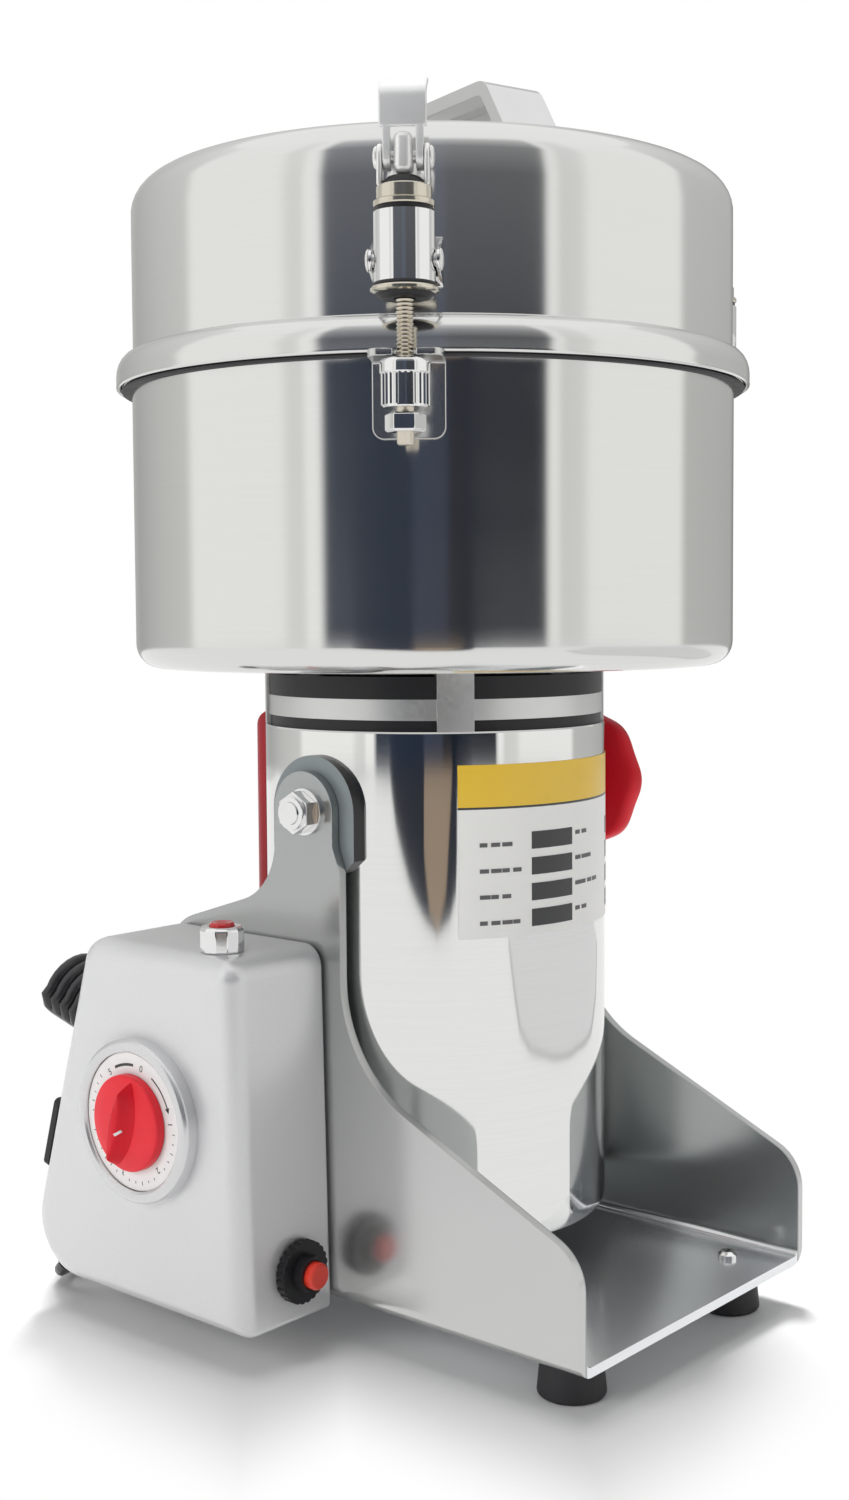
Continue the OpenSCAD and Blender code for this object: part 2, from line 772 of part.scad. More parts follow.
module at_posts() {
    for (k = [0 : 3]) rotate([0, 0, -90 - post_a - 90 * k]) children();
}

// Cast bracket: a ring with four posts that carry the bowl, and the upper bearing's hub
module neck_bracket() color("silver")
    difference() {
        union() {
            ring(rim_r, rim_r - 8, bracket_z, ring_z);
            ring(hub_r, 0.01, bracket_z - 4, ring_top);
            at_posts() {
                intersection() {
                    translate([rim_r - 11, -post_w / 2, gasket_z]) cube([20, post_w, neck_h]);
                    translate([0, 0, gasket_z]) cylinder(h = neck_h, r = shell_r);
                }
                translate([hub_r - 3, -4, bracket_z]) cube([rim_r - hub_r - 4, 8, 7.5]);
            }
        }
        translate([0, 0, bracket_z - 5]) cylinder(h = 12, r = bearing_r);
        translate([0, 0, bracket_z - 5]) cylinder(h = 40, r = shaft_r + 2);
        at_posts() translate([rim_r - 5, 0, bowl_z - 12]) cylinder(h = 13, r = 2.1);
    }

// Black gasket on the shell's rim, and the black guard ring above the bracket
module neck_ring() color(black) {
    difference() {
        ring(rim_r - 0.5, shell_r - 12, gasket_z, bracket_z);
        at_posts() translate([rim_r - 11.2, -post_w / 2 - 0.1, gasket_z - 1])
            cube([20, post_w + 0.2, 30]);
    }
    difference() {
        union() {
            ring(rim_r, hub_r + 0.4, ring_z, ring_top);
            ring(45, hub_r + 0.4, ring_top - e, bowl_z);
        }
        at_posts() translate([rim_r - 11.2, -post_w / 2 - 0.1, ring_z - 1])
            cube([20, post_w + 0.2, 30]);
    }
}

handle_z = [shell_top_z - 7, shell_top_z - 103];
handle_out = 26;                     // how far the rear grip stands off the shell

module handle_fixings() {
    for (z = handle_z) translate([0, 0, z]) children();
}

// Moulded D handle on the back of the shell
module rear_handle() color(red)
    difference() {
        intersection() {
            slab_x(-12, 12) {
                y_mid = (shell_r - 10 + shell_r + handle_out) / 2;
                z_mid = (handle_z[0] + handle_z[1]) / 2;
                translate([y_mid, z_mid]) difference() {
                    rounded_square(handle_out + 10, handle_z[0] - handle_z[1] + 20, 16);
                    translate([-4.5, 0]) rounded_square(26, handle_z[0] - handle_z[1] - 20, 7);
                }
            }
            translate([0, 0, shell_z]) linear_extrude(220)
                translate([0, shell_r]) {
                    translate([-12, -20]) square([24, 20 + handle_out - 8]);
                    translate([-4, 0]) square([8, handle_out]);
                    for (s = [-1, 1]) translate([s * 4, handle_out - 8]) circle(8);
                }
        }
        translate([0, 0, shell_z - 1]) cylinder(h = 230, r = shell_r);
        handle_fixings() rod_y(2.1, shell_r - 5, shell_r + 12);
    }

module handle_screws() color(steel)
    handle_fixings() {
        rod_y(2.1, shell_in - 1, shell_r + 10);
        intersection() {
            rod_y(5, shell_in - 4, shell_in);
            translate([0, 0, -10]) cylinder(h = 20, r = shell_in);
        }
    }

module armature_slots(r) {
    for (k = [0 : slot_n - 1]) rotate([0, 0, 360 / slot_n * k])
        translate([armature_r - 5.5, 0]) circle(r, $fn = 24);
}

module shaft() color(steel) {
    translate([0, 0, low_bearing_z + 1]) cylinder(h = 9, r = shaft_r - 1);
    translate([0, 0, low_bearing_z + 10]) cylinder(h = blade_z - low_bearing_z - 10, r = shaft_r);
    translate([0, 0, blade_z]) cylinder(h = 34, r = shaft_r - 1.5);
}

module armature() color("gray")
    translate([0, 0, stack_z]) linear_extrude(stack_h)
        difference() {
            circle(armature_r);
            circle(shaft_r);
            armature_slots(2.7);
            for (k = [0 : slot_n - 1]) rotate(360 / slot_n * k)
                translate([armature_r - 4, -0.9]) square([6, 1.8]);
        }

module armature_coils() color([0.72, 0.38, 0.14]) {
    translate([0, 0, stack_z - 8]) linear_extrude(stack_h + 16) armature_slots(2.6);
    ring(armature_r - 2, shaft_r + 4, stack_z - 9, stack_z - 1);
    ring(armature_r - 2, shaft_r + 4, stack_z + stack_h + 1, stack_z + stack_h + 9);
}

module commutator() color([0.75, 0.45, 0.2])
    translate([0, 0, comm_z]) linear_extrude(20)
        difference() {
            circle(comm_r);
            circle(shaft_r);
            for (k = [0 : 11]) rotate(30 * k) translate([comm_r - 3, -0.3]) square([5, 0.6]);
        }

// Radial cooling fan on the rotor, under the neck
module fan() color(silver)
    translate([0, 0, stack_z + stack_h + fan_up])
        difference() {
            union() {
                cylinder(h = 1.5, r = 48);
                cylinder(h = 12, r = 11);
                for (k = [0 : 8]) rotate([0, 0, 40 * k]) linear_extrude(11)
                    intersection() {
                        difference() {
                            translate([28, 26]) circle(31, $fn = 64);
                            translate([28, 26]) circle(29.5, $fn = 64);
                            translate([-60, 24]) square([140, 60]);
                        }
                        difference() {
                            circle(47);
                            circle(18);
                        }
                        translate([20, -40]) square([60, 80]);
                    }
            }
            translate([0, 0, -1]) cylinder(h = 14, r = shaft_r);
        }

// ---- bowl ----

module pot_profile(r, z0, z1, corner) {
    translate([0, z0 + corner]) square([r, z1 - z0 - corner]);
    translate([0, z0]) square([r - corner, corner + 1]);
    translate([r - corner, z0 + corner]) circle(corner);
}

module bowl() color(steel)
    difference() {
        rotate_extrude($fn = 160) difference() {
            union() {
                pot_profile(bowl_r, bowl_z, rim_z, bowl_corner);
                translate([bowl_r - 2, rim_z - lip_t]) square([lip_r - bowl_r + 2, lip_t]);
                translate([0, bowl_z]) square([18, 4]);
            }
            difference() {
                pot_profile(bowl_r - bowl_wall, bowl_z + bowl_wall, rim_z + 1, bowl_corner - bowl_wall);
                square([18, bowl_z + 4]);
            }
            translate([0, bowl_z - 1]) square([shaft_r + 0.4, 20]);
            translate([-30, bowl_z - 20]) square([30, 200]);
        }
        at_posts() translate([rim_r - 5, 0, bowl_z - 1]) cylinder(h = 4, r = 2.6);
    }

module bowl_screws() color(steel)
    at_posts() translate([rim_r - 5, 0, 0]) {
        translate([0, 0, bowl_z - 11]) cylinder(h = 11 + bowl_wall, r = 2.1);
        difference() {
            translate([0, 0, bowl_z + bowl_wall]) cylinder(h = 2.8, r = 4.6);
            translate([0, 0, bowl_z + bowl_wall + 1.2]) cylinder(h = 3, r = 2, $fn = 6);
        }
    }

// Two-tier S-shaped blades: the lower pair sweeps the floor, the upper pair is turned up
module blade_arm(l, w, t) {
    linear_extrude(t) difference() {
        union() {
            circle(13);
            translate([0, -w / 2]) square([l - w / 2, w]);
            translate([l - w / 2, 0]) circle(w / 2);
        }
        translate([l * 0.62, w * 1.62]) circle(w * 1.35);
    }
}

module blades() color(steel)
    difference() {
        union() {
            translate([0, 0, blade_z]) for (a = [0, 180]) rotate([0, 0, a]) blade_arm(100, 24, 3);
            translate([0, 0, blade_z + 3]) cylinder(h = 9, r = 12);
            translate([0, 0, blade_z + 12]) for (a = [90, 270]) rotate([0, 0, a]) {
                blade_arm(46, 22, 3);
                translate([33, -11, 0]) rotate([0, -38, 0]) cube([42, 16, 3]);
            }
        }
        translate([0, 0, blade_z - 1]) cylinder(h = 20, r = shaft_r - 1.5);
    }

module blade_nut() color(steel)
    difference() {
        translate([0, 0, blade_z + 15]) {
            cylinder(h = 11, r = 9.5 / cos(30), $fn = 6);
            rotate_extrude() polygon(concat([[0, 10], [8.5, 10]], dome([0, 16], 8.5, 0, 80, 8)));
        }
        translate([0, 0, blade_z]) cylinder(h = 34.01, r = shaft_r - 1.5);
    }

module catch_plate_shape() {
    intersection() {
        translate([-12, rim_z - 30]) square([24, 28]);
        union() {
            translate([-12, rim_z - 26]) square([24, 30]);
            translate([-8, rim_z - 30]) square([16, 10]);
            for (s = [-1, 1]) translate([s * 8, rim_z - 26]) circle(4);
        }
    }
}

// Bracket under each latch: a curved plate with a slotted lug
module catch_brackets() color(steel)
    for (k = [0 : 2]) at_latch(k) {
        intersection() {
            translate([bowl_r - 20, 0, 0]) slab_x(0, 40) catch_plate_shape();
            ring(bowl_r + 2, bowl_r, rim_z - 40, rim_z);
        }
        difference() {
            translate([0, 0, lug_z]) linear_extrude(lug_t) {
                translate([bowl_r - 2, -12]) square([latch_r + 4 - bowl_r - 2, 24]);
                translate([latch_r, -8]) square([4, 16]);
                for (s = [-1, 1]) translate([latch_r, s * 8]) circle(4);
            }
            translate([0, 0, lug_z - 1]) cylinder(h = 9, r = bowl_r + 1);
            translate([latch_r, 0, lug_z - 1]) cylinder(h = 9, r = rod_r + 0.8);
            translate([latch_r, -rod_r - 0.8, lug_z - 1]) cube([20, 2 * rod_r + 1.6, 9]);
        }
    }

// ---- lid ----

// The convex flare between the lid's wall and its skirt, d inside its outer face
function flare(d) =
    [for (t = [0 : 15 : 90])
        [lid_r + 0.5 + (skirt_r - lid_r - 0.5 - d) * cos(t), skirt_bend + (flare_h - d) * sin(t)]];

module lid_outer() {
    polygon(concat([[0, skirt_low], [skirt_r, skirt_low]], flare(0), [
        [lid_r, skirt_bend + flare_h + 0.5], [lid_r, lid_top - lid_corner],
        [lid_r - lid_corner, lid_top - lid_corner], [lid_r - lid_corner, lid_top], [0, lid_top]
    ]));
    translate([lid_r - lid_corner, lid_top - lid_corner]) circle(lid_corner);
}

module lid_inner() {
    w = bowl_wall;
    polygon(concat([[-1, skirt_low - 1], [skirt_r - w, skirt_low - 1]], flare(w), [
        [lid_r - w, skirt_bend + flare_h - w], [lid_r - w, lid_top - lid_corner],
        [lid_r - lid_corner, lid_top - lid_corner], [lid_r - lid_corner, lid_top - w],
        [-1, lid_top - w]
    ]));
    translate([lid_r - lid_corner, lid_top - lid_corner]) circle(lid_corner - w);
}

module lid() color(steel)
    difference() {
        rotate_extrude($fn = 160) difference() {
            lid_outer();
            lid_inner();
        }
        rivet_spots() translate([0, 0, lid_top - 5]) cylinder(h = 8, r = 2.5);
    }

module lid_seal() color([0.85, 0.85, 0.82])
    rotate_extrude($fn = 160) polygon([
        [bowl_r - bowl_wall - 0.3, rim_z], [lip_r, rim_z], [lip_r, rim_z + 5.4],
        [bowl_r + 1, rim_z + 8], [bowl_r - bowl_wall - 0.3, rim_z + 8]
    ]);

module at_grip() {
    rotate([0, 0, -grip_a]) children();
}

// The handle's side view from one foot over the top to the other, d inside its outer face
module grip_side(d) {
    lean = atan(grip_lean / handle_h);
    c = [grip_edge - grip_round * (1 - sin(lean)) / cos(lean), grip_z - grip_round];
    bend = arc(c, grip_round - d, lean, 90, 8);
    foot = [bend[0][0] + (bend[0][1] - lid_top) * tan(lean), lid_top];
    half = concat([foot], bend);
    n = len(half) - 1;
    polygon(concat(half, [for (i = [n : -1 : 0]) [-half[i][0], half[i][1]]]));
}

// Pressed strap handle, hollow underneath
module lid_handle() color(steel)
    at_grip() {
        difference() {
            slab_x(-handle_w / 2, handle_w / 2) grip_side(0);
            slab_x(-handle_w, handle_w) translate([0, -e]) grip_side(strap_rim);
            slab_x(-handle_w / 2 + strap_t, handle_w / 2 - strap_t)
                translate([0, -e]) grip_side(strap_t);
        }
        for (s = [-1, 1]) difference() {
            translate([0, s * (rivet_y - 2), lid_top])
                linear_extrude(strap_t) rounded_square(handle_w, grip_foot, 3);
            for (x = [-rivet_x, rivet_x])
                translate([x, s * rivet_y, lid_top - 1]) cylinder(h = 5, r = 2.5);
        }
    }

module rivet_spots() {
    at_grip() for (s = [-1, 1], x = [-rivet_x, rivet_x])
        translate([x, s * rivet_y, 0]) children();
}

module handle_rivets() color(steel)
    rivet_spots() {
        translate([0, 0, lid_top - bowl_wall]) cylinder(h = bowl_wall + strap_t, r = 2.5);
        translate([0, 0, lid_top + strap_t]) cylinder(h = 1.2, r1 = 3.6, r2 = 2.4);
    }

// Two ears on the lid's wall for each latch, each with a foot turned away from the latch
module latch_brackets() color(steel)
    for (k = [0 : 2], s = [0, 1]) at_latch(k) mirror([0, s, 0])
        difference() {
            union() {
                intersection() {
                    translate([0, cheek_in, hinge_z - 6]) cube([200, 7, 16]);
                    ring(lid_r + 1.6, lid_r, hinge_z - 7, hinge_z + 11);
                }
                translate([0, cheek_in + cheek_t, 0]) rotate([90, 0, 0]) linear_extrude(cheek_t) {
                    polygon([
                        [lid_r - 4, hinge_z - 6], [latch_r, hinge_z - 6],
                        [latch_r + 3, hinge_z + 5.2], [lid_r + 5, hinge_z + 10],
                        [lid_r - 4, hinge_z + 10]
                    ]);
                    translate([latch_r, hinge_z]) circle(6);
                }
            }
            translate([0, 0, hinge_z - 30]) cylinder(h = 60, r = lid_r);
            rod_y(side_pin_r + run, -30, 30, latch_r, hinge_z);
        }

// ---- latches ----

// Over-centre latch: sleeve, side pins, collar, cap, fork and eye
module latch_tube(k) color(steel)
    at_latch(k) translate([latch_r, 0, 0]) {
        low = hinge_z - 11.8;
        sleeve = hinge_z - 7.4;
        groove = hinge_z + 15;
        collar = groove + 1.2;
        cap = collar + 6.4;
        pin_end = cheek_in + cheek_t + gap;
        difference() {
            union() {
                translate([0, 0, low]) cylinder(h = 4.4, r = tube_r + 1.15);
                translate([0, 0, sleeve]) cylinder(h = groove - sleeve, r = tube_r);
                translate([0, 0, groove]) cylinder(h = 1.2, r = tube_r - 1.8);
                translate([0, 0, collar]) cylinder(h = cap - collar, r = tube_r - 1);
                translate([0, 0, cap]) rotate_extrude()
                    polygon(concat([[0, 0], [6, 0], [6, 1]], dome([0, -5], 8.6, 44, 86, 6)));
            }
            translate([0, 0, low - 1]) cylinder(h = 27, r = rod_r + 0.45);
        }
        for (s = [0, 1]) mirror([0, s, 0]) {
            rod_y(side_pin_r, tube_r - 1, pin_end, 0, hinge_z);
            rod_y(side_pin_r + 1.6, pin_end, pin_end + 0.5, 0, hinge_z);
            difference() {
                union() {
                    translate([-2.5, arm_in, cap - 1]) cube([5, arm_out - arm_in, lever_z - cap + 1]);
                    rod_y(2.5, arm_in, arm_out, 0, lever_z);
                }
                rod_y(lever_pin_r + run, -20, 20, 0, lever_z);
            }
        }
        difference() {
            union() {
                translate([-2.4, -3.2, cap - 1]) cube([4.8, 6.4, lever_z + 7 - cap]);
                rod_y(2.4, -3.2, 3.2, 0, lever_z + 7);
            }
            rod_y(lever_pin_r + run, -20, 20, 0, lever_z);
            rod_y(1.3, -20, 20, 0, lever_z + 6.6);
        }
    }

module latch_tube_a() latch_tube(0);
module latch_tube_b() latch_tube(1);
module latch_tube_c() latch_tube(2);

// Side view of a lever's round cheek
module lever_side() {
    translate([0, lever_z]) circle(4.2);
    polygon([
        [-2, lever_z + 3], [3.8, lever_z], [4.4, lever_z + 10], [4.4, lever_top],
        [1.6, lever_top], [1, lever_z + 12]
    ]);
}

// Side view of a lever's finger plate and curled end
module lever_plate_side() {
    translate([2.6, lever_z + 5]) square([1.8, lever_top - lever_z - 5]);
    difference() {
        intersection() {
            translate([-3.6, lever_top - 3]) circle(8);
            translate([-3.6, lever_top - 3]) square([10, 10]);
        }
        translate([-3.6, lever_top - 3]) circle(6.2);
    }
    translate([-11, lever_top + 3.2]) square([7.5, 1.8]);
    translate([-11, lever_top + 4.1]) circle(0.9);
}

module latch_lever(k) color(steel)
    at_latch(k) translate([latch_r, 0, 0]) {
        half = lever_w / 2;
        rotate([90, 0, 0]) translate([0, 0, -half]) linear_extrude(lever_w) lever_plate_side();
        cheek = half - arm_out - gap;
        for (y = [half, -half + cheek])
            translate([0, y, 0]) rotate([90, 0, 0]) linear_extrude(cheek) lever_side();
        rod_y(lever_pin_r, -half - 1.2, half + 1.2, 0, lever_z);
        for (s = [-1, 1])
            rod_y(3.4, s > 0 ? half : -half - 1.2, s > 0 ? half + 1.2 : -half, 0, lever_z);
    }

module latch_lever_a() latch_lever(0);
module latch_lever_b() latch_lever(1);
module latch_lever_c() latch_lever(2);

// Threaded rod with its knurled tightening nut and lock nut
module latch_rod(k) color(steel)
    at_latch(k) translate([latch_r, 0, 0]) {
        nut_top = lug_z - 0.5;
        nut_low = nut_top - 15;
        translate([0, 0, nut_low - 12]) cylinder(h = rod_top - nut_low + 12, r = rod_r);
        translate([0, 0, nut_low]) linear_extrude(10) difference() {
            circle(nut_d / 2);
            for (n = [0 : 17]) rotate(20 * n) translate([nut_d / 2 + 0.35, 0]) circle(0.8, $fn = 16);
        }
        translate([0, 0, nut_low + 10]) cylinder(h = 3.4, r = nut_d / 2);
        translate([0, 0, nut_low + 13.4]) cylinder(h = 1.6, r1 = nut_d / 2, r2 = nut_d / 2 - 1.2);
        translate([0, 0, nut_low - 8]) cylinder(h = 6, r = 5.75 / cos(30), $fn = 6);
    }

module latch_rod_a() latch_rod(0);
module latch_rod_b() latch_rod(1);
module latch_rod_c() latch_rod(2);

base_frame();
rubber_feet();
foot_screws();
control_box();
box_screws();
dial_bezel();
dial_scale();
timer_body();
timer_knob();
lamp_bezel();
lamp_lens();
breaker_body();
breaker_nut();
reset_button();
rocker_frame();
rocker();
cord_gland();
cord_lead();
cord_hank();
plug();
plug_pins();
motor_shell();
end_cap();
trunnion_pads();
pivot_studs();
pivot_washers();
pivot_nut();
lock_knob();
stator_core();
field_coils();
bearings();
brush_gear();
neck_bracket();
neck_ring();
bowl();
bowl_screws();
rear_handle();
handle_screws();
catch_brackets();
shaft();
armature();
armature_coils();
commutator();
fan();
blades();
blade_nut();
lid();
lid_seal();
lid_handle();
handle_rivets();
latch_brackets();
latch_tube_a();
latch_tube_b();
latch_tube_c();
latch_lever_a();
latch_lever_b();
latch_lever_c();
latch_rod_a();
latch_rod_b();
latch_rod_c();
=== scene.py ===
# %% [markdown]
# # A swing-type grain mill, dressed in Blender
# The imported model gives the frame: every body, joint and size. This script models the visible
# pieces around it, gives each a finish, and sets up the studio and the camera.
# Lengths are written in millimetres and become metres in one place.

# %% Load the frame
import json
from math import asin, atan2, cos, degrees, pi, radians, sin
import bpy
from mathutils import Matrix, Vector


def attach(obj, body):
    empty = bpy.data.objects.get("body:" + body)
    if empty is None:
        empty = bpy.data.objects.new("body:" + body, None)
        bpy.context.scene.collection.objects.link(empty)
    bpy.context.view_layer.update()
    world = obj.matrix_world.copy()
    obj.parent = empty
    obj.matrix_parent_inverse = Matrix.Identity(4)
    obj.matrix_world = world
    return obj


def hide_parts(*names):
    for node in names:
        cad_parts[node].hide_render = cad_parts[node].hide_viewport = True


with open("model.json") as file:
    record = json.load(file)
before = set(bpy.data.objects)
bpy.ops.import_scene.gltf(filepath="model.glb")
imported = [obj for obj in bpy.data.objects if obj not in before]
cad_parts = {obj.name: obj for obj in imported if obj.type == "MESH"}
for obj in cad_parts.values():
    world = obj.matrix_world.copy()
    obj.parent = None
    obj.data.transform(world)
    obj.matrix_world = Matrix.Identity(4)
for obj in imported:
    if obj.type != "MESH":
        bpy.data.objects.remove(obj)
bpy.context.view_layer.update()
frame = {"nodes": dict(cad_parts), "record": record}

MM = 0.001

# %% [markdown]
# ## Camera
# The camera stands a little lower than the bowl, ahead of the timer box, and looks slightly down.
# Its axes are worked out from a heading, a pitch and a roll, which is easier to adjust than
# Euler angles.

# %% The camera
EYE = Vector((-538.0, -460.4, 265.9)) * MM
HEADING = Vector((0.760, 0.650, 0.0)).normalized()
PITCH, ROLL = radians(-3.68), radians(-0.35)
FOCAL_PX, LONG_SIDE_PX, FILM = 1826.6, 1500, 36.0
SHIFT = (-0.0074, -0.0166)


def shown(name, data):
    """A new object, put in the scene."""
    obj = bpy.data.objects.new(name, data)
    bpy.context.scene.collection.objects.link(obj)
    return obj


look = HEADING * cos(PITCH) + Vector((0, 0, sin(PITCH)))
level = look.cross(Vector((0, 0, 1))).normalized()
upright = level.cross(look)
across = level * cos(ROLL) + upright * sin(ROLL)
camera_data = bpy.data.cameras.new("camera")
camera_data.sensor_width = FILM
camera_data.lens = FOCAL_PX * FILM / LONG_SIDE_PX
camera_data.shift_x, camera_data.shift_y = SHIFT
camera = shown("camera", camera_data)
turn = Matrix((across, across.cross(-look) * -1, -look)).transposed()
camera.matrix_world = Matrix.Translation(EYE) @ turn.to_4x4()
bpy.context.scene.camera = camera
bpy.context.scene.view_settings.view_transform = "Standard"
print("lens", round(camera_data.lens, 2), "mm")

# %% [markdown]
# ## Tools for the bench
# Each piece starts as a Blender primitive and is shaped in edit mode. These few helpers say
# which object is being edited, draw a chain of edges by extruding one vertex, and turn or
# extrude that outline. Modifiers are applied at once, so that a finished piece is plain mesh.

# %% Selecting and applying
def select_only(*objs):
    if bpy.context.mode != "OBJECT":
        bpy.ops.object.mode_set(mode="OBJECT")
    bpy.ops.object.select_all(action="DESELECT")
    for obj in objs:
        obj.select_set(True)
    if objs:
        bpy.context.view_layer.objects.active = objs[0]


def edit(obj, mode="VERT", action="SELECT"):
    select_only(obj)
    bpy.ops.object.mode_set(mode="EDIT")
    bpy.ops.mesh.select_mode(type=mode)
    bpy.ops.mesh.select_all(action=action)


def leave_edit():
    bpy.ops.object.mode_set(mode="OBJECT")


def settle():
    bpy.ops.object.transform_apply(location=True, rotation=True, scale=True)


def weld():
    bpy.ops.mesh.remove_doubles(threshold=0.002 * MM)


def extrude(way):
    bpy.ops.mesh.extrude_region_move(TRANSFORM_OT_translate={"value": way})


def spin(steps, angle=2 * pi):
    bpy.ops.mesh.spin(steps=steps, angle=angle, center=(0, 0, 0), axis=(0, 0, 1))


def apply_modifier(obj, kind, **settings):
    modifier = obj.modifiers.new(kind.title(), kind)
    for key, value in settings.items():
        setattr(modifier, key, value)
    select_only(obj)
    bpy.ops.object.modifier_apply(modifier=modifier.name)


def face_out(obj):
    edit(obj)
    weld()
    bpy.ops.mesh.normals_make_consistent(inside=False)
    leave_edit()


def smooth(obj, angle=32):
    select_only(obj)
    bpy.ops.object.shade_smooth_by_angle(angle=radians(angle))
    return obj


def level_normals(obj):
    """Keeps the shading of the large flat faces flat beside their rounded edges."""
    apply_modifier(obj, "WEIGHTED_NORMAL", keep_sharp=True, weight=80)
    return obj


def placed(obj, matrix):
    obj.matrix_world = matrix @ obj.matrix_world
    select_only(obj)
    settle()
    return obj


# %% Outlines, turning and extruding
def arc(cu, cv, r, a0, a1, n):
    """Points of an arc about (cu, cv), from angle a0 to a1 in degrees."""
    angles = [radians(a0 + (a1 - a0) * i / n) for i in range(n + 1)]
    return [(cu + r * cos(a), cv + r * sin(a)) for a in angles]


def trace(name, points, closed=True):
    """A chain of edges, drawn by extruding one vertex from point to point."""
    chain = [Vector(p) * MM for p in points]
    select_only()
    bpy.ops.mesh.primitive_plane_add(size=MM, location=chain[0])
    obj = bpy.context.object
    obj.name = obj.data.name = name
    settle()
    edit(obj)
    bpy.ops.mesh.merge(type="CENTER")
    ends = chain[1:] + (chain[:1] if closed else [])
    for a, b in zip(chain, ends):
        extrude(b - a)
    bpy.ops.mesh.select_all(action="SELECT")
    weld()
    leave_edit()
    return obj


def turned(name, outline, steps=96, place=None, angle=32):
    """A round piece: the outline (radius, height) spun about Z, then put in place.
    An outline that starts on the axis ends there too, and isn't closed along it."""
    obj = trace(name, [(r, 0, z) for r, z in outline], closed=outline[0][0] > 0)
    edit(obj)
    spin(steps)
    leave_edit()
    face_out(obj)
    return smooth(placed(obj, place) if place else obj, angle)


def filled(name, outline, height=0):
    """A flat face with the outline (u, v), left in edit mode."""
    obj = trace(name, [(u, v, height) for u, v in outline])
    edit(obj)
    bpy.ops.mesh.edge_face_add()
    return obj


def plate(name, outline, thick, place=None):
    """A flat piece: the outline filled and extruded by thick along w."""
    obj = filled(name, outline)
    extrude((0, 0, thick * MM))
    leave_edit()
    face_out(obj)
    return placed(obj, place) if place else obj


def rounded(obj, width, segments=2, angle=35):
    """Breaks the sharp edges, as any pressed, cast or moulded piece has them broken."""
    apply_modifier(obj, "BEVEL", width=width * MM, segments=segments,
                   limit_method="ANGLE", angle_limit=radians(angle))
    return smooth(obj)


def bevel_where(obj, test, width, segments):
    """Rounds the edges whose two ends, in millimetres, pass the test."""
    edit(obj, "EDGE", "DESELECT")
    leave_edit()
    for edge in obj.data.edges:
        edge.select = test(*(obj.data.vertices[i].co / MM for i in edge.vertices))
    bpy.ops.object.mode_set(mode="EDIT")
    bpy.ops.mesh.bevel(offset=width * MM, segments=segments, affect="EDGES",
                       clamp_overlap=False)
    leave_edit()
    return obj


def raised(name, outline, layers, place=None):
    """A moulded rise: the outline is filled, then drawn up layer by layer as it shrinks."""
    obj = filled(name, outline)
    for rise, across, along in layers:
        extrude((0, 0, rise * MM))
        bpy.ops.transform.resize(value=(across, along, 1))
    leave_edit()
    face_out(obj)
    return placed(obj, place) if place else obj


def block(name, low, high, width, segments=2):
    """A box between two corners with broken edges."""
    low, high = Vector(low) * MM, Vector(high) * MM
    select_only()
    bpy.ops.mesh.primitive_cube_add(size=1, location=(low + high) / 2, scale=high - low)
    obj = bpy.context.object
    obj.name = obj.data.name = name
    settle()
    return rounded(obj, width, segments) if width else obj


def copied(obj, name, matrix=None):
    """A copy with a mesh of its own, moved by matrix."""
    select_only(obj)
    bpy.ops.object.duplicate(linked=False)
    other = bpy.context.object
    other.name = other.data.name = name
    return placed(other, matrix) if matrix else other


def joined(name, *objs):
    select_only(*objs)
    bpy.ops.object.join()
    objs[0].name = objs[0].data.name = name
    return objs[0]


def cut(obj, *tools):
    for tool in tools:
        apply_modifier(obj, "BOOLEAN", operation="DIFFERENCE", solver="EXACT", object=tool)
        bpy.data.objects.remove(tool)
    return obj


def dressed(node, name, width):
    """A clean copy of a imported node's mesh: merged, its flat faces whole again, edges broken."""
    obj = shown(name, frame["nodes"][node].data.copy())
    obj.data.name = name
    obj.data.materials.clear()
    edit(obj)
    bpy.ops.mesh.remove_doubles(threshold=0.005 * MM)
    bpy.ops.mesh.dissolve_limited(angle_limit=radians(0.6))
    leave_edit()
    return level_normals(smooth(rounded(obj, width), 35))


# %% [markdown]
# Outlines are drawn flat, then stood in place. Three directions say which way a piece's own axes
# point, which is easier to read than three angles.

# %% Places
def basis(origin, u, v, w):
    """The matrix that takes a piece's own u, v, w axes to these directions."""
    turn = Matrix((Vector(u), Vector(v), Vector(w))).transposed().to_4x4()
    return Matrix.Translation(Vector(origin) * MM) @ turn


def moved(x=0, y=0, z=0):
    return Matrix.Translation((x * MM, y * MM, z * MM))


X, Y, Z = Vector((1, 0, 0)), Vector((0, 1, 0)), Vector((0, 0, 1))


def side_on(x, y=0, z=0):
    """Outline drawn in Y and Z, thickness along +X."""
    return basis((x, y, z), Y, Z, X)


def facing_front(x, y, z):
    """Outline drawn in X and Z, thickness along -Y."""
    return basis((x, y, z), X, Z, -Y)


def about_z(angle):
    return Matrix.Rotation(radians(angle), 4, "Z")


# %% [markdown]
# ## Writing shaders as expressions
# A small class wraps one socket, so that a pattern reads like arithmetic. Numbers alone are
# worked out in Python, and colours go through Mix nodes. A second class adds the nodes, to a
# material or to the world.

